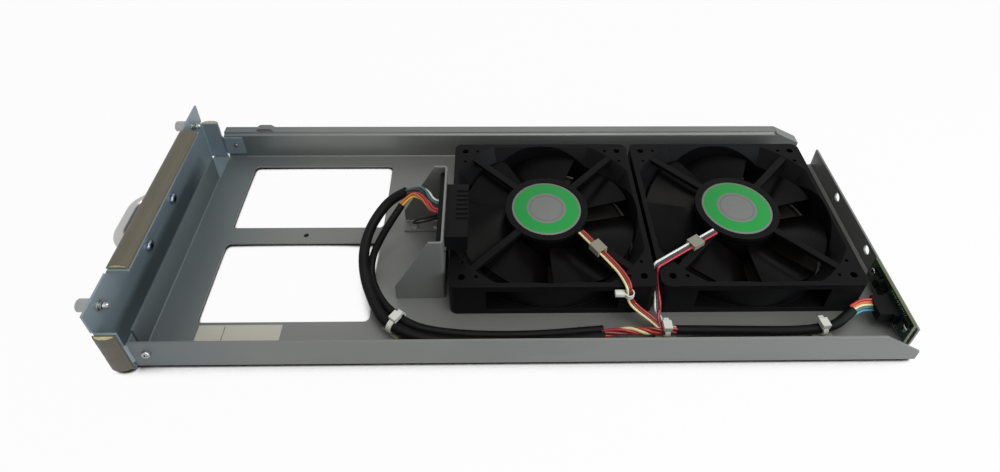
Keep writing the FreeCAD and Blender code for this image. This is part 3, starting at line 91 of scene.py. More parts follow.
class Value:
    """A shader value: a socket that Python's operators extend with Math nodes."""

    def __init__(self, look: "Look", socket: bpy.types.NodeSocket) -> None:
        """Keeps the socket and the look that owns it."""
        self.look = look
        self.socket = socket

    def _math(self, operation: str, first: Operand, second: Operand) -> "Value":
        """Adds one Math node on two operands."""
        return self.look.node("ShaderNodeMath", {"operation": operation}, {0: first, 1: second})

    def __add__(self, other: Operand) -> "Value":
        """Sum."""
        return self._math("ADD", self, other)

    __radd__ = __add__

    def __sub__(self, other: Operand) -> "Value":
        """Difference."""
        return self._math("SUBTRACT", self, other)

    def __rsub__(self, other: Operand) -> "Value":
        """Difference from a number."""
        return self._math("SUBTRACT", other, self)

    def __mul__(self, other: Operand) -> "Value":
        """Product."""
        return self._math("MULTIPLY", self, other)

    __rmul__ = __mul__

    def __gt__(self, other: Operand) -> "Value":
        """One where this value is the greater, else zero."""
        return self._math("GREATER_THAN", self, other)

    def __lt__(self, other: Operand) -> "Value":
        """One where this value is the smaller, else zero."""
        return self._math("LESS_THAN", self, other)

    def largest(self, other: Operand) -> "Value":
        """The greater of two values."""
        return self._math("MAXIMUM", self, other)

    def sine(self) -> "Value":
        """The sine of this value."""
        return self.look.node("ShaderNodeMath", {"operation": "SINE"}, {0: self})


class Look:
    """A node tree that ends in one principled shader, or in a world's background."""

    edge_samples: int = 4
    edge_turn: Span = (0.02, 0.2)

    def __init__(self, tree: bpy.types.NodeTree) -> None:
        """Keeps the tree that nodes are added to."""
        self.tree = tree

    def node(
        self,
        kind: str,
        settings: Optional[dict[str, Any]] = None,
        inputs: Optional[Sockets] = None,
        output: Union[str, int] = 0,
    ) -> Value:
        """Adds a node.

        Args:
            kind: Blender's node type.
            settings: properties of the node, set first.
            inputs: socket names or numbers with the value or link each gets.
            output: the output that is returned.

        Returns:
            The wanted output as a value.
        """
        made = self.tree.nodes.new(kind)
        for key, setting in (settings or {}).items():
            setattr(made, key, setting)
        self.feed(made, inputs or {})
        return Value(self, made.outputs[output])

    def feed(self, node: bpy.types.Node, inputs: Sockets) -> None:
        """Links or sets a node's sockets.

        Args:
            node: the node that is fed.
            inputs: socket names or numbers with the value or link each gets.
        """
        for key, source in inputs.items():
            if isinstance(source, Value):
                self.tree.links.new(source.socket, node.inputs[key])
            else:
                node.inputs[key].default_value = source

    def place(self, scale: Point = (1.0, 1.0, 1.0), shift: Point = (0.0, 0.0, 0.0)) -> Value:
        """Object coordinates, moved and then scaled.

        Args:
            scale: factor along each axis.
            shift: the place in metres that becomes zero.

        Returns:
            The coordinates.
        """
        local = self.node("ShaderNodeTexCoord", output="Object")
        moved = self.node("ShaderNodeVectorMath", {"operation": "SUBTRACT"}, {0: local, 1: shift})
        return self.node("ShaderNodeVectorMath", {"operation": "MULTIPLY"}, {0: moved, 1: scale})

    def axis(self, vector: Value, name: str) -> Value:
        """One coordinate of a vector."""
        return self.node("ShaderNodeSeparateXYZ", inputs={0: vector}, output=name)

    def noise(self, cycles: Point, detail: float = 3.0) -> Value:
        """Soft noise between zero and one, with its cycles per metre along each axis."""
        inputs: Sockets = {"Vector": self.place(cycles), "Scale": 1.0, "Detail": detail}
        return self.node("ShaderNodeTexNoise", inputs=inputs)

    def ramp(self, value: Value, span: Span) -> Value:
        """Zero below the span, one above it and a straight rise between."""
        return self.node("ShaderNodeMapRange", inputs={0: value, 1: span[0], 2: span[1], 3: 0.0, 4: 1.0})

    def mix(self, factor: Operand, first: Tone, second: Tone) -> Value:
        """A colour between two colours."""
        tones = [tone if isinstance(tone, Value) else (*tone, 1.0) for tone in (first, second)]
        return self.node("ShaderNodeMix", {"data_type": "RGBA"}, {0: factor, 6: tones[0], 7: tones[1]}, 2)

    def bump(self, height: Value, strength: float, depth: float, normal: Optional[Value] = None) -> Value:
        """A normal that rises and falls with a height.

        Args:
            height: the height between zero and one.
            strength: how much of the slope shows.
            depth: the rise of a height of one.
            normal: the normal that is changed, if not the surface's own.

        Returns:
            The changed normal.
        """
        inputs: Sockets = {"Height": height, "Strength": strength, "Distance": depth * MM}
        if normal is not None:
            inputs["Normal"] = normal
        return self.node("ShaderNodeBump", inputs=inputs)

    def edge_normal(self, radius: float) -> Value:
        """The surface normal with the edges eased by a small radius."""
        return self.node("ShaderNodeBevel", {"samples": self.edge_samples}, {"Radius": radius * MM})

    def true_normal(self) -> Value:
        """The normal of the flat face."""
        return self.node("ShaderNodeNewGeometry", output="True Normal")

    def edges(self, eased: Value) -> Value:
        """A mask of the edges.

        Args:
            eased: the normal with eased edges.

        Returns:
            One where the eased normal leaves the true one, and zero on flat faces.
        """
        inputs: Sockets = {0: eased, 1: self.true_normal()}
        facing = self.node("ShaderNodeVectorMath", {"operation": "DOT_PRODUCT"}, inputs, "Value")
        return self.ramp(1.0 - facing, self.edge_turn)


@dataclass(frozen=True)
class Finish:
    """A surface with a fine grain: the base of every finish of the tray.

    The grain's three numbers are its cycles per metre along X, Y and Z.
    """

    name: str
    colour: Colour
    roughness: float
    metallic: float = 0.0
    coat: float = 0.0
    specular: float = 0.5
    grain: Point = even(900.0)
    mottle: float = 0.12
    spread: float = 0.12
    relief: float = 0.15
    depth: float = 0.1
    ease: float = 0.25
    wear: float = 0.25
    worn: Colour = (0.6, 0.6, 0.58)
    patches: Point = even(22.0)
    patch_span: Span = (0.3, 0.7)
    rub_grain: float = 0.5
    rub_span: Span = (0.55, 0.95)

    def material(self) -> bpy.types.Material:
        """The finish's material, made at its first use.

        Returns:
            The material with its nodes.
        """
        title = f"{self.name}_finish"
        known = bpy.data.materials.get(title)
        if known:
            return known
        made = bpy.data.materials.new(title)
        made.use_nodes = True
        look = Look(made.node_tree)
        shader = made.node_tree.nodes["Principled BSDF"]
        plain: Sockets = {
            "Metallic": self.metallic, "Coat Weight": self.coat, "Specular IOR Level": self.specular,
        }
        look.feed(shader, plain)
        look.feed(shader, self.sockets(look))
        return made

    def sockets(self, look: Look) -> Sockets:
        """Colour, gloss and relief of the surface.

        Args:
            look: the material's node tree.

        Returns:
            The shader's sockets that change over the surface.
        """
        eased = look.edge_normal(self.ease)
        fine = look.noise(self.grain)
        broad = look.noise(self.patches, detail=5.0)
        tone = self.mottled(look, look.ramp(broad, self.patch_span))
        rub = look.edges(eased) * look.ramp(broad + fine * self.rub_grain, self.rub_span) * self.wear
        return {
            "Base Color": look.mix(rub, tone, self.worn),
            "Roughness": (broad + fine) * self.spread + (self.roughness - self.spread),
            "Normal": look.bump(fine, self.relief, self.depth, eased),
        }

    def mottled(self, look: Look, share: Value) -> Value:
        """The colour, from its darkest to its lightest."""
        return look.mix(share, self.shade(1.0 - self.mottle), self.shade(1.0 + self.mottle))

    def shade(self, share: float) -> Colour:
        """The finish's colour, darkened or lightened by a share."""
        red, green, blue = (min(channel * share, 1.0) for channel in self.colour)
        return (red, green, blue)


@dataclass(frozen=True)
class RolledSheet(Finish):
    """Zinc-plated sheet with faint rolling lines, cloudy plating, wiped smears and a front end painted
    darker and bluer as shade and reflection of the front panel.
    """

    depth: float = 0.04
    clouds: Point = (6.0, 14.0, 14.0)
    cloud_span: Span = (0.25, 0.75)
    smears: Point = (11.7, 39.0, 26.0)
    smear_span: Span = (0.56, 0.7)
    smear_share: float = 0.22
    smear_shade: float = 0.72
    smear_dulling: float = 0.06
    # Painted shade and painted reflection of the front panel: the colour of the front end, and the X span in
    # millimetres over which it comes in.
    front: Optional[Colour] = None
    painted_front_shade_span: Span = (-130.0, -185.0)

    def sockets(self, look: Look) -> Sockets:
        """Colour, gloss and relief of plated sheet.

        Args:
            look: the material's node tree.

        Returns:
            The shader's sockets that change over the surface.
        """
        eased = look.edge_normal(self.ease)
        lines = look.noise(self.grain, detail=6.0)
        cloud = look.noise(self.clouds, detail=6.0)
        smear = look.ramp(look.noise(self.smears), self.smear_span)
        tone = self.mottled(look, look.ramp(cloud, self.cloud_span))
        tone = look.mix(smear * self.smear_share, tone, self.shade(self.smear_shade))
        # Painted shade and painted reflection of the front panel: the sheet turns darker and bluer towards
        # the front end.
        if self.front:
            start, end = (reach * MM for reach in self.painted_front_shade_span)
            tone = look.mix(look.ramp(look.axis(look.place(), "X"), (start, end)), tone, self.front)
        rough = (lines + cloud) * self.spread + smear * self.smear_dulling
        return {
            "Base Color": look.mix(look.edges(eased) * self.wear, tone, self.worn),
            "Roughness": rough + (self.roughness - self.spread),
            "Normal": look.bump(lines, self.relief, self.depth, eased),
        }


@dataclass(frozen=True)
class WovenCloth(Finish):
    """Metallised woven cloth: a fine over-and-under weave with darker gaps and soiled patches."""

    depth: float = 0.25
    pitch: float = 0.9
    swing: float = 0.34
    middle: float = 0.5
    gap_shade: float = 0.62
    crest_shade: float = 1.12
    soil: Point = even(60.0)
    soil_span: Span = (0.4, 0.75)
    soil_share: float = 0.4
    soil_shade: float = 0.7
    soil_relief: float = 0.5

    def sockets(self, look: Look) -> Sockets:
        """Colour, gloss and relief of the weave.

        Args:
            look: the material's node tree.

        Returns:
            The shader's sockets that change over the surface.
        """
        spot = look.place(even(2.0 * math.pi / (self.pitch * MM)))
        first, second, third = (look.axis(spot, name).sine() for name in "XYZ")
        weave = (first * second + second * third + third * first) * self.swing + self.middle
        soil = look.noise(self.soil, detail=4.0)
        tone = look.mix(weave, self.shade(self.gap_shade), self.shade(self.crest_shade))
        soiled = look.ramp(soil, self.soil_span) * self.soil_share
        return {
            "Base Color": look.mix(soiled, tone, self.shade(self.soil_shade)),
            "Roughness": weave * -self.spread + self.roughness,
            "Normal": look.bump(weave + soil * self.soil_relief, self.relief, self.depth),
        }


@dataclass(frozen=True)
class FoamCore(Finish):
    """Open-cell foam: small round pits."""

    depth: float = 0.3
    cells: float = 1400.0
    pit_span: Span = (0.1, 0.6)
    pit_shade: float = 0.55
    rim_shade: float = 1.1
    rim_dulling: float = 0.05

    def sockets(self, look: Look) -> Sockets:
        """Colour, gloss and relief of the cells.

        Args:
            look: the material's node tree.

        Returns:
            The shader's sockets that change over the surface.
        """
        pits = look.node("ShaderNodeTexVoronoi", inputs={"Vector": look.place(), "Scale": self.cells})
        rims = look.ramp(pits, self.pit_span)
        return {
            "Base Color": look.mix(rims, self.shade(self.pit_shade), self.shade(self.rim_shade)),
            "Roughness": self.roughness + pits * self.rim_dulling,
            "Normal": look.bump(pits, self.relief, self.depth),
        }


@dataclass(frozen=True)
class ShrinkSleeve(Finish):
    """Black shrink sleeve: satin, with faint long wrinkles and dusty patches."""

    depth: float = 0.5
    dust: Point = even(90.0)
    dust_span: Span = (0.5, 0.8)
    dust_share: float = 0.25
    wrinkle_dulling: float = 0.08

    def sockets(self, look: Look) -> Sockets:
        """Colour, gloss and relief of the sleeve.

        Args:
            look: the material's node tree.

        Returns:
            The shader's sockets that change over the surface.
        """
        wrinkle = look.noise(self.grain, detail=2.0)
        dust = look.ramp(look.noise(self.dust, detail=6.0), self.dust_span)
        return {
            "Base Color": look.mix(dust * self.dust_share, self.colour, self.worn),
            "Roughness": self.roughness + dust * self.spread + wrinkle * self.wrinkle_dulling,
            "Normal": look.bump(wrinkle, self.relief, self.depth),
        }


@dataclass(frozen=True)
class CircuitBoard(Finish):
    """Coated board: copper runs that show darker and lighter through the green, tinned pads and a bare core.

    The run and pad cells are counted per pitch, and the pad and clear sizes are shares of a pad's cell.
    """

    depth: float = 0.06
    pitch: float = 2.6
    run_cells: float = 1.6
    run_span: Span = (0.47, 0.5)
    run_share: float = 0.6
    field_shade: float = 0.75
    run_shade: float = 1.55
    pad_cells: float = 0.7
    pad_size: float = 0.1
    clear_size: float = 0.18
    pad_dulling: float = 0.1
    pad_metal: float = 0.9
    core: Colour = (0.1, 0.115, 0.045)
    core_facing: float = 0.5

    def sockets(self, look: Look) -> Sockets:
        """Colour, gloss and relief of the runs and pads.

        Args:
            look: the material's node tree.

        Returns:
            The shader's sockets that change over the surface.
        """
        per_pitch = 1.0 / (self.pitch * MM)
        inputs: Sockets = {"Vector": look.place(even(per_pitch)), "Scale": self.pad_cells}
        cells = look.node("ShaderNodeTexVoronoi", {"distance": "MANHATTAN"}, inputs)
        copper = look.noise(even(self.run_cells * per_pitch), detail=0.0)
        runs = look.ramp(copper, self.run_span) * (cells > self.clear_size)
        pads = cells < self.pad_size
        tone = look.mix(runs * self.run_share, self.shade(self.field_shade), self.shade(self.run_shade))
        facing = look.axis(look.true_normal(), "X")
        tone = look.mix(facing * facing < self.core_facing, look.mix(pads, tone, self.worn), self.core)
        return {
            "Base Color": tone,
            "Roughness": self.roughness + pads * self.pad_dulling,
            "Metallic": pads * self.pad_metal,
            "Normal": look.bump(runs + pads, self.relief, self.depth),
        }


@dataclass(frozen=True)
class RingedLabel(Finish):
    """A round printed label: a coloured ring round a pale silver middle with a thin line, and a pale rim."""

    depth: float = 0.03
    centre: Point = (0.0, 0.0, 0.0)
    ring: Colour = (0.0, 0.3, 0.05)
    ring_span: Span = (12.5, 20.6)
    line_span: Span = (10.1, 10.7)
    line_share: float = 0.6
    line_shade: float = 0.5
    fibres: Point = even(500.0)
    fibre_shades: Span = (0.92, 1.06)
    fibre_dulling: float = 0.08
    fibre_relief: float = 0.2
    foil: float = 0.35

    def sockets(self, look: Look) -> Sockets:
        """Colour, gloss and relief of the print.

        Args:
            look: the material's node tree.

        Returns:
            The shader's sockets that change over the surface.
        """
        shift = (self.centre[0] * MM, self.centre[1] * MM, self.centre[2] * MM)
        spot = look.place((1.0 / MM, 1.0 / MM, 0.0), shift)
        reach = look.node("ShaderNodeVectorMath", {"operation": "LENGTH"}, {0: spot}, "Value")
        inked, lined = ((reach > low) * (reach < high) for low, high in (self.ring_span, self.line_span))
        fibre = look.noise(self.fibres)
        dark, pale = (self.shade(share) for share in self.fibre_shades)
        tone = look.mix(lined * self.line_share, look.mix(fibre, dark, pale), self.shade(self.line_shade))
        return {
            "Base Color": look.mix(inked, tone, self.ring),
            "Roughness": self.roughness + fibre * self.fibre_dulling,
            "Metallic": (1.0 - inked) * self.foil,
            "Normal": look.bump(inked + fibre * self.fibre_relief, self.relief, self.depth),
        }


class WireColour(Enum):
    """Insulation colours of the harness."""

    RED = (0.42, 0.02, 0.02)
    CRIMSON = (0.36, 0.012, 0.03)
    BROWN = (0.16, 0.02, 0.012)
    ORANGE = (0.55, 0.1, 0.015)
    YELLOW = (0.62, 0.4, 0.03)
    CREAM = (0.72, 0.64, 0.33)
    WHITE = (0.72, 0.72, 0.7)
    TEAL = (0.02, 0.13, 0.14)
    BLUE = (0.03, 0.22, 0.36)
    BLACK = (0.012, 0.012, 0.014)

    def finish(self) -> Finish:
        """Glossy insulation of this colour.

        Returns:
            The finish.
        """
        return Finish(
            f"{self.name.lower()}_insulation", self.value, 0.34, coat=0.15, grain=even(700.0), mottle=0.1,
            spread=0.06, relief=0.1, ease=0.05, wear=0.0,
        )


# front: a darker, bluer colour painted on the front end as shade and reflection of the front panel.
ZINC_SHEET = RolledSheet(
    "zinc_sheet", (0.188, 0.192, 0.184), 0.42, 0.4, specular=0.3, grain=(25.0, 1600.0, 1600.0), mottle=0.09,
    spread=0.1, relief=0.035, ease=0.3, worn=(0.3, 0.31, 0.31), front=(0.125, 0.145, 0.15),
)
# Its blue tint is a painted reflection of the surroundings on the upright panel; under it the sheet is zinc
# like the tray's.
PANEL_SHEET = RolledSheet(
    "panel_sheet", (0.235, 0.29, 0.32), 0.46, 0.5, grain=(1600.0, 25.0, 1600.0), mottle=0.07,
    spread=0.1, relief=0.06, ease=0.3, wear=0.15, worn=(0.3, 0.31, 0.31),
)
BRIGHT_ZINC = Finish(
    "bright_zinc", (0.32, 0.33, 0.33), 0.28, 1.0, grain=even(3000.0), mottle=0.15,
    spread=0.1, relief=0.08, ease=0.12, wear=0.4, worn=(0.7, 0.7, 0.68),
)
BLUED_STEEL = Finish(
    "blued_steel", (0.3, 0.34, 0.42), 0.3, 0.9, grain=even(2000.0), mottle=0.25,
    spread=0.1, relief=0.08, ease=0.12, wear=0.9, worn=(0.6, 0.63, 0.68),
)
HANDLE_PLATE = Finish(
    "handle_plate", (0.45, 0.45, 0.44), 0.26, 1.0, grain=(300.0, 2500.0, 2500.0), mottle=0.08,
    spread=0.08, relief=0.05, ease=0.2, wear=0.2,
)
TURNED_METAL = Finish("turned_metal", (0.4, 0.4, 0.39), 0.32, 1.0, grain=(4000.0, 600.0, 600.0), wear=0.3)
GASKET_CLOTH = WovenCloth("gasket_cloth", (0.122, 0.11, 0.077), 0.55, 0.3, relief=0.5)
GASKET_FOAM = FoamCore("gasket_foam", (0.56, 0.53, 0.32), 0.85, specular=0.2, relief=0.8)
# Its lighter edge colour is partly wear and partly a painted highlight along the struts' edges.
FAN_MOULDING = Finish(
    "fan_moulding", (0.0036, 0.0035, 0.004), 0.44, specular=0.07, grain=even(1800.0), mottle=0.2,
    spread=0.1, relief=0.2, ease=0.35, wear=0.45, worn=(0.045, 0.045, 0.05),
)
BLADE_MOULDING = Finish(
    "blade_moulding", (0.0026, 0.0021, 0.0021), 0.3, specular=0.055, mottle=0.35,
    relief=0.06, wear=0.3, worn=(0.03, 0.03, 0.033),
)
BLACK_PLASTIC = Finish(
    "black_plastic", (0.005, 0.005, 0.0055), 0.42, specular=0.08, grain=even(2500.0), mottle=0.2,
    spread=0.1, ease=0.15, wear=0.3, worn=(0.04, 0.04, 0.04),
)
CONTACT_PLATE = Finish("contact_plate", (0.6, 0.42, 0.16), 0.25, 1.0, wear=0.2, worn=(0.8, 0.65, 0.35))
GROUND_STEEL = Finish("ground_steel", (0.5, 0.5, 0.5), 0.22, 1.0, grain=(300.0, 300.0, 3000.0), wear=0.1)
DARK_IRON = Finish("dark_iron", (0.06, 0.056, 0.052), 0.55, 0.7, grain=(300.0, 300.0, 4000.0), wear=0.3)
COPPER_COIL = Finish(
    "copper_coil", (0.45, 0.14, 0.05), 0.3, 0.9, grain=(300.0, 300.0, 2600.0), relief=0.5, wear=0.0,
)
BOARD_GREEN = CircuitBoard(
    "board_green", (0.012, 0.045, 0.022), 0.34, coat=0.2, specular=0.3, relief=0.3, worn=(0.4, 0.4, 0.36),
)
TIN_SOLDER = Finish("tin_solder", (0.45, 0.45, 0.44), 0.3, 0.9, grain=even(2000.0), wear=0.0)
SLEEVE_BLACK = ShrinkSleeve(
    "sleeve_black", (0.0055, 0.0055, 0.0057), 0.46, specular=0.1, grain=(70.0, 260.0, 260.0),
    spread=0.25, relief=0.35, worn=(0.03, 0.03, 0.028),
)
TIE_NYLON = Finish(
    "tie_nylon", (0.62, 0.62, 0.57), 0.42, coat=0.1, grain=even(1200.0), mottle=0.06,
    relief=0.1, wear=0.2, worn=(0.7, 0.7, 0.66),
)
CLIP_CARD = Finish(
    "clip_card", (0.23, 0.217, 0.17), 0.55, specular=0.3, grain=even(1200.0), mottle=0.06,
    relief=0.1, ease=0.2, wear=0.2, worn=(0.5, 0.48, 0.4),
)
STICKER_WHITE = Finish(
    "sticker_white", (0.5, 0.485, 0.42), 0.5, specular=0.3, grain=even(3000.0), mottle=0.05,
    relief=0.06, ease=0.05, wear=0.0,
)
INK_GREY = Finish("ink_grey", (0.1, 0.1, 0.1), 0.55, grain=even(2500.0), mottle=0.2, relief=0.05, wear=0.0)


def add_piece(
    name: str,
    mesh: bpy.types.Mesh,
    finish: Finish,
    replaced: Sequence[str] = (),
    body: str = "tray",
    sharp_deg: float = 32.0,
) -> bpy.types.Object:
    """Makes a mesh a piece of the object.

    Args:
        name: the piece's name.
        mesh: its mesh in metres, in place.
        finish: what it is dressed in.
        replaced: solids that it stands for.
        body: the body it rides on.
        sharp_deg: edges sharper than this stay sharp.

    Returns:
        The new object.
    """
    made = bpy.data.objects.new(name, mesh)
    bpy.context.scene.collection.objects.link(made)
    mesh.shade_smooth()
    mesh.set_sharp_from_angle(angle=math.radians(sharp_deg))
    mesh.materials.clear()
    mesh.materials.append(finish.material())
    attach(made, body)
    if replaced:
        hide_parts(*replaced)
    LOG.info("%s: %d faces", name, len(mesh.polygons))
    return made


def add_block(form: bmesh.types.BMesh, centre: Vector, size: Point, ease: float) -> None:
    """Adds a box with eased edges to a form.

    Args:
        form: the bmesh that it joins.
        centre: the box's middle.
        size: its lengths along X, Y and Z.
        ease: how far the edges are taken back.
    """
    made = bmesh.ops.create_cube(form, size=1.0)["verts"]
    bmesh.ops.scale(form, vec=size, verts=made)
    bmesh.ops.translate(form, vec=centre, verts=made)
    edges = [edge for edge in form.edges if edge.verts[0] in made]
    bmesh.ops.bevel(form, geom=edges, offset=ease, segments=2, profile=0.5, affect="EDGES", material=-1)


def add_turned(
    form: bmesh.types.BMesh,
    outline: Sequence[Span],
    segments: int = 40,
) -> list[bmesh.types.BMEdge]:
    """Adds a form turned about Z.

    Args:
        form: the bmesh that it joins.
        outline: radius and height of each corner.
        segments: steps of a full turn.

    Returns:
        The edges left open, at an end of the outline that is off the axis.
    """
    known = set(form.verts)
    verts = [form.verts.new((radius, 0.0, height)) for radius, height in outline]
    edges = [form.edges.new(pair) for pair in zip(verts, verts[1:])]
    bmesh.ops.spin(form, geom=verts + edges, cent=(0.0, 0.0, 0.0), axis=ALONG_Z, angle=2.0 * math.pi,
                   steps=segments, use_merge=True)
    made = [vert for vert in form.verts if vert not in known]
    bmesh.ops.remove_doubles(form, verts=made, dist=MERGE)
    return [edge for edge in form.edges if edge.is_boundary and edge.verts[0] not in known]


def grow(
    form: bmesh.types.BMesh,
    edges: Sequence[bmesh.types.BMEdge],
) -> tuple[list[bmesh.types.BMVert], list[bmesh.types.BMEdge]]:
    """Extrudes edges where they are.

    Args:
        form: the bmesh that they belong to.
        edges: the edges to extrude.

    Returns:
        The new vertices and the new edges between them.
    """
    made = bmesh.ops.extrude_edge_only(form, edges=edges)["geom"]
    verts = [item for item in made if isinstance(item, bmesh.types.BMVert)]
    return verts, [item for item in made if isinstance(item, bmesh.types.BMEdge)]


def aimed(seat: Vector, out: Vector) -> Matrix:
    """The placement at a seat that turns Z to a direction."""
    return Matrix.Translation(seat) @ out.to_track_quat("Z", "Y").to_matrix().to_4x4()


def shaped(name: str, form: bmesh.types.BMesh) -> bpy.types.Mesh:
    """Turns a bmesh in millimetres into a mesh in metres, faces outwards.

    Args:
        name: the mesh's name.
        form: the bmesh, which is freed.

    Returns:
        The new mesh.
    """
    bmesh.ops.remove_doubles(form, verts=form.verts, dist=MERGE)
    bmesh.ops.recalc_face_normals(form, faces=form.faces)
    bmesh.ops.scale(form, vec=even(MM), verts=form.verts)
    mesh = bpy.data.meshes.new(name)
    form.to_mesh(mesh)
    form.free()
    return mesh


@dataclass
class Route:
    """A cable's way through the tray, as the control points of a smooth spline."""

    points: Sequence[Point]
    steps: int = 8
    order: int = 3
    round_steps: int = 6

    def _curve(self, radius: float) -> bpy.types.Object:
        """A curve object in metres on the route, with a round section where the radius isn't zero.

        Args:
            radius: radius of the section.

        Returns:
            The curve object, which belongs to no scene.
        """
        curve = bpy.data.curves.new("route", "CURVE")
        curve.dimensions = "3D"
        curve.resolution_u = self.steps
        curve.bevel_depth = radius * MM
        curve.bevel_resolution = self.round_steps
        curve.use_fill_caps = radius > 0.0
        spline = curve.splines.new("NURBS")
        spline.points.add(len(self.points) - 1)
        for control, point in zip(spline.points, self.points):
            control.co = (*((DATUM + Vector(point)) * MM), 1.0)
        spline.order_u = self.order
        spline.use_endpoint_u = True
        return bpy.data.objects.new("route", curve)

    def _mesh(self, radius: float) -> bpy.types.Mesh:
        """The route's mesh in metres: a tube, or a bare line where the radius is zero.

        Args:
            radius: radius of the tube.

        Returns:
            The mesh.
        """
        held = self._curve(radius)
        mesh = bpy.data.meshes.new_from_object(held)
        curve = held.data
        bpy.data.objects.remove(held)
        bpy.data.curves.remove(curve)
        return mesh

    def tube(self, name: str, radius: float) -> bpy.types.Mesh:
        """A round tube along the route.

        Args:
            name: the mesh's name.
            radius: the tube's radius.

        Returns:
            The tube in metres.
        """
        form = bmesh.new()
        mesh = self._mesh(radius)
        form.from_mesh(mesh)
        bpy.data.meshes.remove(mesh)
        bmesh.ops.scale(form, vec=even(1.0 / MM), verts=form.verts)
        return shaped(name, form)

    def line(self) -> list[Vector]:
        """Points along the spline, from the harness datum.

        Returns:
            The points in order.
        """
        mesh = self._mesh(0.0)
        line = [vertex.co / MM - DATUM for vertex in mesh.vertices]
        bpy.data.meshes.remove(mesh)
        return line

    def path(self) -> list[Vector]:
        """Points along the spline in metres."""
        return [(DATUM + spot) * MM for spot in self.line()]


@dataclass
class Strand:
    """One insulated wire of a bundle, beside or wound round the bundle's middle line."""

    colour: WireColour
    radius: float
    offset: float
    start_turn: float = 0.0
    turns: float = 0.0
    steps: int = 2

    def follow(self, line: Sequence[Vector], sides: tuple[Vector, Vector]) -> Route:
        """The strand's own route.

        Args:
            line: points along the middle of the bundle.
            sides: the direction of turn zero at the line's start and end.

        Returns:
            The route at the strand's offset from the line.
        """
        last = len(line) - 1
        points = []
        for number, spot in enumerate(line):
            share = number / last
            heading = (line[min(number + 1, last)] - line[max(number - 1, 0)]).normalized()
            side = sides[0].lerp(sides[1], share)
            side = (side - heading * side.dot(heading)).normalized()
            angle = 2.0 * math.pi * (self.start_turn + self.turns * share)
            out = side * math.cos(angle) + heading.cross(side) * math.sin(angle)
            points.append(tuple(spot + out * self.offset))
        return Route(points, self.steps)


@dataclass
class Bundle:
    """Wires that run together and stand for one solid."""

    name: str
    slot: str
    node: str
    routes: Sequence[Route]
    strands: Sequence[Sequence[Strand]]
    sides: tuple[Point, Point] = ((0.0, 0.0, 1.0), (0.0, 0.0, 1.0))
    length: float = 0.0

    def build(self) -> None:
        """Makes each wire a piece.

        The first one stands for the bundle's solid.
        """
        sides = (Vector(self.sides[0]), Vector(self.sides[1]))
        wires = []
        for number, (route, strands) in enumerate(zip(self.routes, self.strands)):
            line = route.line()
            for strand in strands:
                name = f"{self.name}_{number}_{strand.colour.name.lower()}_{round(strand.start_turn * 100)}"
                mesh = strand.follow(line, sides).tube(name, strand.radius)
                replaced = () if wires else (self.node,)
                wires.append(add_piece(name, mesh, strand.colour.finish(), replaced))
        if self.length:
            first = self.strands[0][0]
            path = first.follow(self.routes[0].line(), sides).path()


def wound(colours: Sequence[WireColour], radius: float, offset: float, turns: float) -> list[Strand]:
    """Strands evenly spaced round a bundle.

    Args:
        colours: one colour for each strand.
        radius: each strand's radius.
        offset: distance of each strand from the middle line.
        turns: turns that the bundle makes over its length.

    Returns:
        The strands.
    """
    count = len(colours)
    return [Strand(colour, radius, offset, number / count, turns) for number, colour in enumerate(colours)]


def ribbon(colours: Sequence[WireColour], radius: float, pitch: float = 2.05) -> list[Strand]:
    """Strands side by side in a flat row.

    Args:
        colours: one colour for each strand.
        radius: each strand's radius.
        pitch: radii from one strand to the next.

    Returns:
        The strands.
    """
    middle = (len(colours) - 1) / 2
    step = pitch * radius
    return [Strand(colour, radius, (number - middle) * step) for number, colour in enumerate(colours)]


@dataclass
class Cable:
    """A sleeved cable that lies free between its ties."""

    node: str
    points: Sequence[Point]
    radius: float
    length: float
    far_end: str = "object"
    ends_in: Sequence[str] = ()

    def build(self) -> None:
        route = Route(self.points)
        sleeve = route.tube(self.node, self.radius)
        piece = add_piece(f"{self.node}_sleeve", sleeve, SLEEVE_BLACK, (self.node,))
        path = route.path()


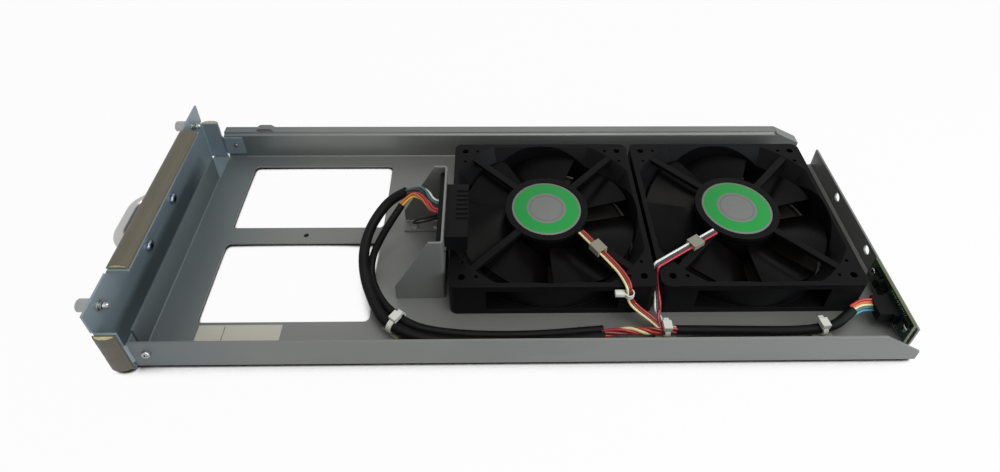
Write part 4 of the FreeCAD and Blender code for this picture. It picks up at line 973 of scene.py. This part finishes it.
@dataclass
class Harness:
    """Sleeved cables, their loose ends and the fan leads.

    A lay is the strands' distance from the middle of their bundle and the turns that the bundle makes.
    """

    outer_radius: float = 3.2
    outer_length: float = 223.0
    inner_radius: float = 2.3
    inner_length: float = 202.0
    rear_radius: float = 2.7
    rear_length: float = 106.0
    front_lead_length: float = 81.0
    rear_lead_length: float = 84.0
    wire_radius: float = 0.72
    bare_radius: float = 0.95
    loop_radius: float = 0.62
    outer_lay: Span = (1.2, 0.45)
    inner_lay: Span = (1.1, 0.6)
    bare_lay: Span = (1.4, 1.3)
    plug_sides: tuple[Point, Point] = ((0.0, 0.6, 0.8), (0.0, 0.8, 0.6))
    front_lead_sides: tuple[Point, Point] = ((0.83, 0.56, 0.0), (0.62, 0.78, 0.0))
    rear_lead_sides: tuple[Point, Point] = ((-0.52, 0.85, 0.0), (0.0, 1.0, 0.3))
    outer: Sequence[Point] = (
        (-29.0, 66.4, 7.6), (-37.6, 66.3, 2.8), (-46.4, 57.6, -2.8), (-51.8, 45.2, -6.8),
        (-53.2, 31.8, -10.6), (-50.6, 17.6, -14.2), (-44.8, 4.6, -17.4), (-38.3, -6.4, -18.8),
        (-24.7, -16.6, -18.8), (-8.0, -20.6, -20.0), (14.0, -21.6, -21.3), (37.0, -21.8, -21.6),
        (62.0, -21.0, -21.4), (88.0, -19.0, -20.6),
    )
    inner: Sequence[Point] = (
        (-30.5, 54.6, 8.6), (-37.6, 46.0, 1.8), (-43.6, 40.0, -6.6), (-48.6, 33.4, -15.2),
        (-48.4, 22.4, -20.2), (-42.2, 9.6, -21.4), (-34.6, -1.5, -18.8), (-21.0, -11.7, -18.8),
        (-6.6, -14.6, -20.6), (15.0, -15.8, -22.2), (37.0, -16.0, -22.6), (62.0, -15.2, -22.4),
        (88.0, -13.2, -21.8),
    )
    bare: Sequence[Point] = (
        (87.0, -16.8, -20.8), (98.0, -15.8, -19.2), (109.0, -16.2, -19.2), (117.0, -15.9, -18.8),
        (129.0, -15.9, -18.8),
    )
    rear: Sequence[Point] = (
        (128.6, -15.9, -18.8), (142.0, -15.4, -19.9), (160.0, -15.0, -21.0), (180.0, -15.4, -21.0),
        (196.0, -16.4, -19.6), (205.0, -16.2, -18.8), (219.0, -14.2, -18.8), (226.0, -10.4, -16.8),
        (232.0, -6.4, -14.4),
    )
    plug: Sequence[Point] = (
        (231.0, -7.0, -14.6), (236.4, -4.3, -13.6), (240.4, -3.8, -13.5), (244.0, -3.9, -13.5),
    )
    front_lead: Sequence[Point] = (
        (79.0, 38.4, 1.7), (96.2, 13.3, 1.7), (100.0, 5.0, 1.9), (101.8, -2.2, 2.2), (102.4, -2.6, -6.0),
        (105.0, -3.4, -12.0), (110.6, -6.6, -15.4), (116.6, -11.4, -16.6), (120.6, -15.2, -18.4),
    )
    rear_lead: Sequence[Point] = (
        (161.0, 38.8, 1.1), (132.6, 21.4, 1.1), (124.0, 16.0, 1.3), (120.2, 13.6, 1.7), (120.2, 12.6, -1.4),
        (120.2, 9.0, -7.0), (120.2, 0.0, -12.4), (119.4, -5.6, -14.4), (120.0, -10.6, -16.4),
        (121.2, -14.6, -18.2),
    )
    outer_tail: Sequence[Point] = (
        (-6.9, 53.0, 12.4), (-10.9, 53.0, 12.4), (-15.6, 61.6, 13.2), (-22.0, 66.5, 11.3),
        (-30.5, 66.4, 6.8),
    )
    inner_tail: Sequence[Point] = (
        (-6.9, 46.0, 12.4), (-10.9, 46.0, 12.4), (-14.6, 52.4, 13.4), (-19.6, 57.6, 13.8),
        (-25.9, 59.96, 11.98), (-31.4, 53.5, 7.9),
    )
    spare_loop: Sequence[Point] = (
        (-6.7, 48.4, 6.2), (-14.0, 46.2, 6.4), (-20.5, 44.2, 6.4), (-23.2, 42.6, 6.1), (-20.8, 41.9, 5.8),
        (-14.0, 44.2, 5.7), (-6.7, 46.6, 5.7),
    )

    def build(self) -> None:
        """Makes every cable and wire."""
        Cable("outer_loop_cable", self.outer, self.outer_radius, self.outer_length).build()
        Cable("inner_loop_cable", self.inner, self.inner_radius, self.inner_length).build()
        Cable("rear_cable", self.rear, self.rear_radius, self.rear_length, "plug", ("harness_plug",)).build()
        for bundle in (*self._loose_wires(), *self._leads()):
            bundle.build()
        loop = Route(self.spare_loop).tube("spare_loop", self.loop_radius)
        add_piece("spare_loop", loop, SLEEVE_BLACK)

    def _loose_wires(self) -> list[Bundle]:
        """The wires outside the sleeves.

        Returns:
            The bundles at the connector, between the sleeves and at the plug.
        """
        colour, radius = WireColour, self.wire_radius
        tails = (
            wound((colour.WHITE, colour.BROWN, colour.BLACK, colour.TEAL), radius, *self.outer_lay),
            wound((colour.RED, colour.YELLOW, colour.ORANGE, colour.CRIMSON), radius, *self.inner_lay),
        )
        gathered = (colour.BROWN, colour.RED, colour.CREAM, colour.CRIMSON)
        bare = wound(gathered, self.bare_radius, *self.bare_lay)
        plug = ribbon((colour.BLUE, colour.TEAL, colour.CREAM, colour.ORANGE, colour.RED), radius)
        routes = (Route(self.outer_tail), Route(self.inner_tail))
        return [
            Bundle("connector_wire", "loose_wire", "connector_wires", routes, tails),
            Bundle("bare_wire", "loose_wire", "bare_wires", (Route(self.bare),), (bare,)),
            Bundle("plug_wire", "loose_wire", "plug_wires", (Route(self.plug),), (plug,), self.plug_sides),
        ]

    def _leads(self) -> list[Bundle]:
        """The fans' own leads.

        Returns:
            The front fan's lead and the rear fan's.
        """
        colour = WireColour
        front = ribbon((colour.CREAM, colour.BROWN, colour.RED), self.wire_radius)
        rear = ribbon((colour.CRIMSON, colour.BLACK, colour.WHITE), self.wire_radius)
        return [
            Bundle("front_fan_wire", "lead_wire", "front_fan_lead", (Route(self.front_lead),), (front,),
                   self.front_lead_sides, self.front_lead_length),
            Bundle("rear_fan_wire", "lead_wire", "rear_fan_lead", (Route(self.rear_lead),), (rear,),
                   self.rear_lead_sides, self.rear_lead_length),
        ]


@dataclass
class FanLabel:
    """Round sticker in the recess of a motor base."""

    fan: str
    radius: float = 21.8
    thickness: float = 0.16
    rim_ease: float = 0.06
    recess: float = 0.4
    segments: int = 96
    silver: Colour = (0.17, 0.175, 0.165)
    green: Colour = (0.012, 0.25, 0.045)

    def build(self) -> None:
        """Makes the sticker with an eased rim."""
        low, high = solid_box(f"{self.fan}_fan_frame")
        middle = (low + high) / 2
        centre = (middle.x, middle.y, high.z - self.recess)
        form = bmesh.new()
        bmesh.ops.create_circle(form, cap_ends=True, segments=self.segments, radius=self.radius)
        top = bmesh.ops.extrude_face_region(form, geom=list(form.faces))["geom"]
        lifted = [item for item in top if isinstance(item, bmesh.types.BMVert)]
        bmesh.ops.translate(form, vec=(0.0, 0.0, self.thickness), verts=lifted)
        rim = [edge for edge in form.edges if all(vert in lifted for vert in edge.verts)]
        bmesh.ops.bevel(form, geom=rim, offset=self.rim_ease, segments=2, profile=0.5, affect="EDGES",
                        material=-1)
        bmesh.ops.translate(form, vec=centre, verts=form.verts)
        name = f"{self.fan}_fan_label"
        finish = RingedLabel(
            name, self.silver, 0.4, specular=0.25, relief=0.2, centre=centre, ring=self.green,
        )
        add_piece(name, shaped("label", form), finish)


@dataclass
class FloorLabel:
    """Bare sticker on the pan's floor beside the near wall, with one ruled cell."""

    start: Point = (-143.0, -17.0, -25.38)
    size: Point = (47.5, 10.5, 0.12)
    rule: Point = (0.4, 8.7, 0.06)
    cell: float = 15.0
    ease_share: float = 0.25

    def build(self) -> None:
        """Makes the sticker and its rule."""
        middle = DATUM + Vector(self.start) + Vector(self.size) / 2
        sheet = bmesh.new()
        add_block(sheet, middle, self.size, self.size[2] * self.ease_share)
        add_piece("floor_label", shaped("floor_label", sheet), STICKER_WHITE)
        rule = bmesh.new()
        spot = middle + Vector((self.cell - self.size[0] / 2, 0.0, self.size[2] / 2))
        add_block(rule, spot, self.rule, self.rule[2] * self.ease_share)
        add_piece("floor_label_rule", shaped("rule", rule), INK_GREY)


@dataclass
class CrossScrew:
    """A pan-head screw with a tapered cross recess.

    The profile and the cross are shares of the head's radius and height, the point of the shank's radius.
    """

    head_radius: float
    head_height: float
    shank_radius: float
    shank_length: float
    profile: Sequence[Span] = ((1.0, 0.0), (1.0, 0.4), (0.94, 0.72), (0.82, 0.9), (0.66, 1.0))
    point: float = 0.2
    cross_width: float = 0.15
    cross_reach: float = 0.56
    cross_depth: float = 0.75
    cross_taper: float = 0.55

    def add_to(self, form: bmesh.types.BMesh, seat: Vector, out: Vector) -> None:
        """Adds the screw to a form.

        Args:
            form: the bmesh that it joins.
            seat: middle of the head's underside.
            out: the way that the head faces.
        """
        shank, end = self.shank_radius, -self.shank_length
        point = shank * self.point
        stem = ((0.0, end), (shank - point, end), (shank, end + point), (shank, 0.0))
        head = ((self.head_radius * across, self.head_height * rise) for across, rise in self.profile)
        known = set(form.verts)
        self._recess(form, add_turned(form, (*stem, *head)))
        made = [vert for vert in form.verts if vert not in known]
        bmesh.ops.transform(form, matrix=aimed(seat, out), verts=made)

    def _recess(self, form: bmesh.types.BMesh, rim: list[bmesh.types.BMEdge]) -> None:
        """Closes the head inside its rim with a cross that tapers inwards.

        Args:
            form: the bmesh with the open head.
            rim: the open edges at the top of the head.
        """
        wide, long = self.head_radius * self.cross_width, self.head_radius * self.cross_reach
        spots = [Vector((x, y, self.head_height)) for x, y in ((long, -wide), (long, wide), (wide, wide))]
        turns = [Matrix.Rotation(math.pi / 2 * quarter, 3, "Z") for quarter in range(4)]
        verts = [form.verts.new(turn @ spot) for turn in turns for spot in spots]
        edges = [form.edges.new(pair) for pair in zip(verts, verts[1:] + verts[:1])]
        bmesh.ops.bridge_loops(form, edges=rim + edges)
        low, floor = grow(form, edges)
        bmesh.ops.scale(form, vec=(self.cross_taper, self.cross_taper, 1.0), verts=low)
        bmesh.ops.translate(form, vec=(0.0, 0.0, -self.head_height * self.cross_depth), verts=low)
        bmesh.ops.edgeloop_fill(form, edges=floor)


@dataclass
class ScrewPair:
    """Two like screws that stand for one solid, placed by the solid's box.

    Facing is 1 or -1 for heads that face that way along X, and 0 for heads that face outwards along Y.
    """

    node: str
    finish: Finish
    head_height: float
    shank_radius: float
    facing: float = 0.0

    def build(self) -> None:
        """Makes both screws one piece."""
        low, high = solid_box(self.node)
        reach = (high.z - low.z) / 2
        form = bmesh.new()
        for end, side in ((low.y, -1.0), (high.y, 1.0)):
            seat = (low + high) / 2
            if self.facing:
                out = ALONG_X * self.facing
                seat.y = end - side * reach
                seat.x = (high.x if self.facing > 0 else low.x) - self.facing * self.head_height
                length = high.x - low.x - self.head_height
            else:
                out = ALONG_Y * side
                seat.y = end - side * self.head_height
                length = self.head_height * 2
            CrossScrew(reach, self.head_height, self.shank_radius, length).add_to(form, seat, out)
        add_piece(f"{self.node}_pair", shaped(self.node, form), self.finish, (self.node,))


@dataclass
class Thumbscrew:
    """Captive screw: knurled head, plain shank, groove for its ring and a short thread."""

    side: str
    head_radius: float = 3.5
    head_length: float = 6.6
    chamfer: float = 0.5
    teeth: int = 30
    tooth: float = 0.24
    shank_radius: float = 2.0
    groove_radius: float = 1.4
    groove: Span = (6.0, 6.7)
    tip: float = 9.7
    thread_radius: float = 1.75
    thread_depth: float = 0.32
    thread_pitch: float = 0.6
    sharp_deg: float = 20.0

    def build(self) -> None:
        """Makes the screw in place of its plain solid."""
        node = f"{self.side}_thumbscrew"
        low, high = solid_box(node)
        seat = (low + high) / 2
        seat.x = low.x + self.head_length
        form = bmesh.new()
        self._head(form)
        add_turned(form, self._stem())
        bmesh.ops.transform(form, matrix=aimed(seat, ALONG_X), verts=form.verts)
        add_piece(f"{node}_knurled", shaped("thumbscrew", form), BRIGHT_ZINC, (node,),
                  f"{self.side}_screw", self.sharp_deg)

    def _head(self, form: bmesh.types.BMesh) -> None:
        """Adds the knurled head, from its front face back to its seat at zero.

        Args:
            form: the bmesh that it joins.
        """
        plain = self.head_radius - self.chamfer
        ring = bmesh.ops.create_circle(form, cap_ends=True, segments=2 * self.teeth, radius=plain)["verts"]
        bmesh.ops.translate(form, vec=(0.0, 0.0, -self.head_length), verts=ring)
        edges = list(form.edges)
        straight = self.head_length - 2 * self.chamfer
        for rise, knurled in ((self.chamfer, True), (straight, True), (self.chamfer, False)):
            verts, edges = grow(form, edges)
            bmesh.ops.translate(form, vec=(0.0, 0.0, rise), verts=verts)
            for vert in verts:
                step = round(math.atan2(vert.co.y, vert.co.x) * self.teeth / math.pi)
                reach = self.head_radius - self.tooth * (step % 2) if knurled else plain
                vert.co.xy = vert.co.xy.normalized() * reach
        bmesh.ops.edgeloop_fill(form, edges=edges)

    def _stem(self) -> list[Span]:
        """The stem's outline.

        Returns:
            Radius and distance from the head's seat of each corner, up to the tip's middle.
        """
        start, end = self.groove
        root = self.thread_radius - self.thread_depth
        outline = [(self.shank_radius, 0.0), (self.shank_radius, start)]
        outline += [(self.groove_radius, start), (self.groove_radius, end)]
        for turn in range(int((self.tip - self.chamfer - end) / self.thread_pitch)):
            foot = end + turn * self.thread_pitch
            outline += [(root, foot), (self.thread_radius, foot + self.thread_pitch / 2)]
        return [*outline, (root, self.tip), (0.0, self.tip)]


@dataclass
class EdgeTie:
    """Small tie that gathers the front fan's lead below the fan's edge."""

    spot: Point = (102.2, -2.55, -3.4)
    inner: float = 2.25
    band: float = 0.7
    width: float = 2.6
    head: Point = (5.6, 3.4, 3.0)
    head_lift: float = 0.4
    head_ease: float = 0.5

    def build(self) -> None:
        """Makes the band and its head."""
        form = bmesh.new()
        half, outer = self.width / 2, self.inner + self.band
        corners = ((self.inner, -half), (outer, -half), (outer, half), (self.inner, half))
        add_turned(form, (*corners, corners[0]))
        middle = Vector((-outer - self.head[0] / 2 + self.band / 2, 0.0, self.head_lift))
        add_block(form, middle, self.head, self.head_ease)
        bmesh.ops.translate(form, vec=DATUM + Vector(self.spot), verts=form.verts)
        add_piece("front_lead_tie", shaped("tie", form), TIE_NYLON)


@dataclass
class BoardDetail:
    """Rows of small parts and solder joints on the rear board's inner face.

    The body and the tinned ends are shares of a part's length and depth.
    """

    pitch: float = 2.4
    start: float = 8.6
    count: int = 7
    rises: Span = (1.3, 14.0)
    part: Point = (0.6, 1.6, 0.9)
    body_share: float = 0.6
    body_ease: float = 0.1
    end_share: float = 0.2
    end_depth: float = 0.8
    end_ease: float = 0.08
    end_sunk: float = 0.1

    def build(self) -> None:
        """Makes the dark bodies one piece and their tinned ends another."""
        corner = solid_box("control_board")[0]
        bodies, ends = bmesh.new(), bmesh.new()
        depth, length, height = self.part
        body = (depth, length * self.body_share, height)
        end = (depth * self.end_depth, length * self.end_share, height)
        tip = length * (self.body_share + self.end_share) / 2
        for rise in self.rises:
            for number in range(self.count):
                spot = corner + Vector((-depth / 2, self.start + number * self.pitch, rise + height / 2))
                add_block(bodies, spot, body, self.body_ease)
                for side in (-1.0, 1.0):
                    add_block(ends, spot + Vector((self.end_sunk, side * tip, 0.0)), end, self.end_ease)
        add_piece("board_parts", shaped("parts", bodies), BLACK_PLASTIC)
        add_piece("board_part_ends", shaped("ends", ends), TIN_SOLDER)


@dataclass
class Gasket:
    """Shielding gasket: a crowned cloth sleeve, slightly uneven along its length, over a foam core.

    Each wave of the crown has a share, its radians per millimetre and its start.
    """

    side: str
    along: Vector
    out: Vector
    wall: float = 0.32
    arc_steps: int = 18
    length_steps: int = 40
    ripple: float = 0.08
    waves: Sequence[Point] = ((1.0, 0.31, 0.0), (0.6, 0.83, 1.0))
    wave_drop: float = 1.7
    fill: float = 0.9
    hollow: float = 0.5

    def build(self) -> None:
        """Makes the sleeve and the core in place of their plain solids."""
        sleeve = bmesh.new()
        self._draw(sleeve, "fabric")
        self._unsettle(sleeve, "fabric")
        bmesh.ops.recalc_face_normals(sleeve, faces=sleeve.faces)
        bmesh.ops.solidify(sleeve, geom=sleeve.faces[:], thickness=self.wall)
        self._pad("fabric", sleeve, GASKET_CLOTH, "gasket_cloth")
        core = bmesh.new()
        for rim, way in zip(self._draw(core, "foam"), (1.0, -1.0)):
            cap = bmesh.ops.edgeloop_fill(core, edges=rim)["faces"]
            bmesh.ops.inset_region(core, faces=cap, thickness=self.hollow)
            corners = list({vert for face in cap for vert in face.verts})
            bmesh.ops.translate(core, vec=self.along * (way * self.hollow), verts=corners)
        self._pad("foam", core, GASKET_FOAM, "gasket_foam")

    def _pad(self, layer: str, form: bmesh.types.BMesh, finish: Finish, slot: str) -> None:
        """Makes one layer a padded piece.

        Args:
            layer: the layer's word in the solid's name.
            form: its shape.
            finish: what it is dressed in.
            slot: the record's material slot it belongs to; not used.
        """
        node = f"{self.side}_gasket_{layer}"
        add_piece(f"{node}_pad", shaped(node, form), finish, (node,))

    def _foot(self, layer: str) -> tuple[Vector, float, float, float]:
        """The place and size of a layer's solid.

        Args:
            layer: the layer's word in the solid's name.

        Returns:
            The middle of the foot's start, and the length, height and width.
        """
        low, high = solid_box(f"{self.side}_gasket_{layer}")
        ways = (self.along, self.out, self.along.cross(self.out))
        length, height, width = (abs((high - low).dot(way)) for way in ways)
        return (low + high) / 2 - self.out * (height / 2) - self.along * (length / 2), length, height, width

    def _draw(self, form: bmesh.types.BMesh, layer: str) -> list[list[bmesh.types.BMEdge]]:
        """Draws a flat-footed half oval along the gasket, in the box of a layer's solid.

        Args:
            form: the bmesh that it joins.
            layer: the layer's word in the solid's name.

        Returns:
            The edges of the open start and of the open end.
        """
        foot, length, height, width = self._foot(layer)
        across = self.along.cross(self.out)
        corner = form.verts.new(foot - across * (width / 2))
        bmesh.ops.spin(form, geom=[corner], cent=foot, axis=self.along, angle=math.pi, steps=self.arc_steps,
                       use_merge=False)
        for vert in form.verts:
            vert.co += self.out * ((vert.co - foot).dot(self.out) * (2 * height / width - 1.0))
        ends = sorted(form.verts, key=lambda vert: (vert.co - foot).dot(across))
        bmesh.ops.contextual_create(form, geom=[ends[0], ends[-1]])
        start = list(form.edges)
        edges = start
        for _ in range(self.length_steps):
            verts, edges = grow(form, edges)
            bmesh.ops.translate(form, vec=self.along * (length / self.length_steps), verts=verts)
        return [start, edges]

    def _unsettle(self, form: bmesh.types.BMesh, layer: str) -> None:
        """Lets the crown of a layer fall a little here and there.

        Args:
            form: the layer's shape.
            layer: the layer's word in the solid's name.
        """
        foot, _, height, _ = self._foot(layer)
        for vert in form.verts:
            rise = (vert.co - foot).dot(self.out) / height
            run = (vert.co - foot).dot(self.along)
            wave = sum(share * math.sin(run * rate + start) for share, rate, start in self.waves)
            vert.co += self.out * (rise * (wave - self.wave_drop) * self.ripple)


class NodeFinish:
    """Dresses the solids that are shown as they are, each in its own finish or else that of its slot."""

    slots: dict[str, Finish] = {
        "zinc_sheet": ZINC_SHEET,
        "panel_steel": PANEL_SHEET,
        "gasket_cloth": GASKET_CLOTH,
        "gasket_foam": GASKET_FOAM,
        "handle_metal": HANDLE_PLATE,
        "bright_steel": BRIGHT_ZINC,
        "bush_metal": TURNED_METAL,
        "connector_plastic": BLACK_PLASTIC,
        "contact_brass": CONTACT_PLATE,
        "fan_plastic": FAN_MOULDING,
        "impeller_plastic": BLADE_MOULDING,
        "shaft_steel": GROUND_STEEL,
        "magnet_iron": DARK_IRON,
        "coil_copper": COPPER_COIL,
        "board_green": BOARD_GREEN,
        "control_green": BOARD_GREEN,
        "cable_sleeve": SLEEVE_BLACK,
        "loose_wire": SLEEVE_BLACK,
        "lead_wire": SLEEVE_BLACK,
        "tie_nylon": TIE_NYLON,
        "clip_nylon": CLIP_CARD,
    }
    own: dict[str, Finish] = {"bracket_rivets": ZINC_SHEET}

    def build(self) -> None:
        """Gives each solid its finish."""
        for part in frame["record"]["subparts"]:
            node = part["node"]
            finish = self.own.get(node, self.slots[part["material_slot"]])
            mesh = frame["nodes"][node].data
            mesh.materials.clear()
            mesh.materials.append(finish.material())
            LOG.info("%s: %s", node, finish.name)


@dataclass
class Studio:
    """Pale floor, soft lamps, world and the photograph's camera.

    The floor's size and reach and the lamps' places and sizes are in metres. Each lamp has a name, a place,
    a size, a power in watts and a tint.
    """

    focal_px: float = 670.5
    centre_px: Span = (500.0, 100.0)
    pitch_deg: float = 38.5
    yaw_deg: float = 1.43
    roll_deg: float = -0.84
    eye: Point = (-6.5, -283.35, 344.9)
    sensor: float = 36.0
    near_clip: float = 10.0
    floor_size: float = 12.0
    floor_drop: float = 0.4
    floor_colour: Colour = (0.66, 0.66, 0.66)
    floor_roughness: float = 0.9
    floor_specular: float = 0.1
    # Colour painted on the floor as shade where the object shuts out the sky
    floor_painted_shade: Colour = (0.05, 0.044, 0.038)
    floor_white: float = 0.95
    floor_open: Span = (0.42, 0.52)
    floor_reach: float = 0.12
    floor_samples: int = 20
    backdrop: Colour = (1.0, 1.0, 1.0)
    sky: Colour = (0.4, 0.41, 0.42)
    lamps: Sequence[tuple[str, Point, float, float, Colour]] = (
        ("key", (0.3, -0.35, 1.5), 1.0, 12.0, (1.0, 0.98, 0.93)),
        ("fill", (0.65, -0.5, 0.32), 0.5, 4.0, (0.84, 0.94, 1.0)),
    )

    def build(self) -> None:
        """Makes the whole set."""
        self._floor()
        self._world()
        for name, spot, size, power, colour in self.lamps:
            self._lamp(name, Vector(spot), size, power, colour)
        self._camera()
        bpy.context.scene.view_settings.view_transform = "Standard"

    @staticmethod
    def _seen(look: Look) -> Value:
        """One for rays that show the backdrop: from the camera, mirrored or passed through.

        Args:
            look: the node tree of the floor or the world.

        Returns:
            The mask.
        """
        names = ("Is Camera Ray", "Is Glossy Ray", "Is Transmission Ray")
        camera, glossy, passed = (look.node("ShaderNodeLightPath", output=name) for name in names)
        return camera.largest(glossy).largest(passed)

    def _floor(self) -> None:
        """A pale floor, painted dark as shade only where the object shuts out the sky."""
        form = bmesh.new()
        bmesh.ops.create_grid(form, x_segments=1, y_segments=1, size=self.floor_size / 2 / MM)
        bmesh.ops.translate(form, vec=(0.0, 0.0, -self.floor_drop), verts=form.verts)
        plane = bpy.data.objects.new("floor", shaped("floor", form))
        bpy.context.scene.collection.objects.link(plane)
        paint = bpy.data.materials.new("pale_floor")
        paint.use_nodes = True
        look = Look(paint.node_tree)
        shader = paint.node_tree.nodes["Principled BSDF"]
        reach: Sockets = {"Distance": self.floor_reach}
        sky = look.node("ShaderNodeAmbientOcclusion", {"samples": self.floor_samples}, reach, "AO")
        opened = look.ramp(sky, self.floor_open)
        # Painted shade: the floor's colour turns dark where ambient occlusion finds the sky shut out
        tone = look.mix(opened, self.floor_painted_shade, self.floor_colour)
        look.feed(shader, {"Base Color": tone})
        look.feed(shader, {"Roughness": self.floor_roughness, "Specular IOR Level": self.floor_specular})
        glow = look.node("ShaderNodeEmission", inputs={"Strength": 1.0})
        share = self._seen(look) * opened * self.floor_white
        lit = Value(look, shader.outputs[0])
        mixed = look.node("ShaderNodeMixShader", inputs={0: share, 1: lit, 2: glow})
        look.feed(paint.node_tree.nodes["Material Output"], {"Surface": mixed})
        plane.data.materials.append(paint)

    def _world(self) -> None:
        """White where the backdrop is seen, and an even sky as light."""
        world = bpy.data.worlds.new("studio")
        bpy.context.scene.world = world
        world.use_nodes = True
        look = Look(world.node_tree)
        tone = look.mix(self._seen(look), self.sky, self.backdrop)
        look.feed(world.node_tree.nodes["Background"], {"Color": tone, "Strength": 1.0})

    @staticmethod
    def _lamp(name: str, spot: Vector, size: float, power: float, colour: Colour) -> None:
        """A square area lamp that faces the tray.

        Args:
            name: the lamp's name.
            spot: its place in metres.
            size: its side in metres.
            power: its power in watts.
            colour: the tint of its light.
        """
        lamp = bpy.data.lights.new(name, "AREA")
        lamp.size = size
        lamp.energy = power
        lamp.color = colour
        held = bpy.data.objects.new(name, lamp)
        held.location = spot
        held.visible_camera = False
        held.rotation_mode = "QUATERNION"
        held.rotation_quaternion = (-spot).to_track_quat("-Z", "Y")
        bpy.context.scene.collection.objects.link(held)

    def _camera(self) -> None:
        """The camera that was fitted to the photograph."""
        pitch, yaw, roll = (math.radians(angle) for angle in (self.pitch_deg, self.yaw_deg, self.roll_deg))
        ahead = Vector((math.sin(yaw) * math.cos(pitch), math.cos(yaw) * math.cos(pitch), -math.sin(pitch)))
        right = Vector((math.cos(yaw), -math.sin(yaw), 0.0))
        down = ahead.cross(right)
        level = right * math.cos(roll) + down * math.sin(roll)
        sunk = down * math.cos(roll) - right * math.sin(roll)
        data = bpy.data.cameras.new("photo_camera")
        data.sensor_width = self.sensor
        data.lens = self.focal_px / PHOTO_WIDTH * self.sensor
        data.shift_x = (PHOTO_WIDTH / 2 - self.centre_px[0]) / PHOTO_WIDTH
        data.shift_y = (self.centre_px[1] - PHOTO_HEIGHT / 2) / PHOTO_WIDTH
        data.clip_start = self.near_clip * MM
        camera = bpy.data.objects.new("photo_camera", data)
        camera.matrix_world = Matrix((level, -sunk, -ahead)).transposed().to_4x4()
        camera.location = Vector(self.eye) * MM
        bpy.context.scene.collection.objects.link(camera)
        bpy.context.scene.camera = camera


def main() -> None:
    """Builds the set and every piece in order."""
    logging.basicConfig(level=logging.INFO)
    Studio().build()
    NodeFinish().build()
    Harness().build()
    for fan in ("front", "rear"):
        FanLabel(fan).build()
    FloorLabel().build()
    ScrewPair("handle_screws", BLUED_STEEL, head_height=2.2, shank_radius=1.9, facing=1.0).build()
    ScrewPair("connector_screws", DARK_IRON, head_height=1.2, shank_radius=1.4, facing=-1.0).build()
    ScrewPair("board_screws", BRIGHT_ZINC, head_height=1.4, shank_radius=1.2, facing=-1.0).build()
    ScrewPair("panel_screws", BRIGHT_ZINC, head_height=1.6, shank_radius=1.5).build()
    for side in ("near", "far"):
        Thumbscrew(side).build()
    EdgeTie().build()
    BoardDetail().build()
    Gasket("top", along=ALONG_Y, out=ALONG_Z).build()
    Gasket("near", along=ALONG_Z, out=-ALONG_Y).build()
    Gasket("far", along=ALONG_Z, out=ALONG_Y).build()


if __name__ == "__main__":
    main()
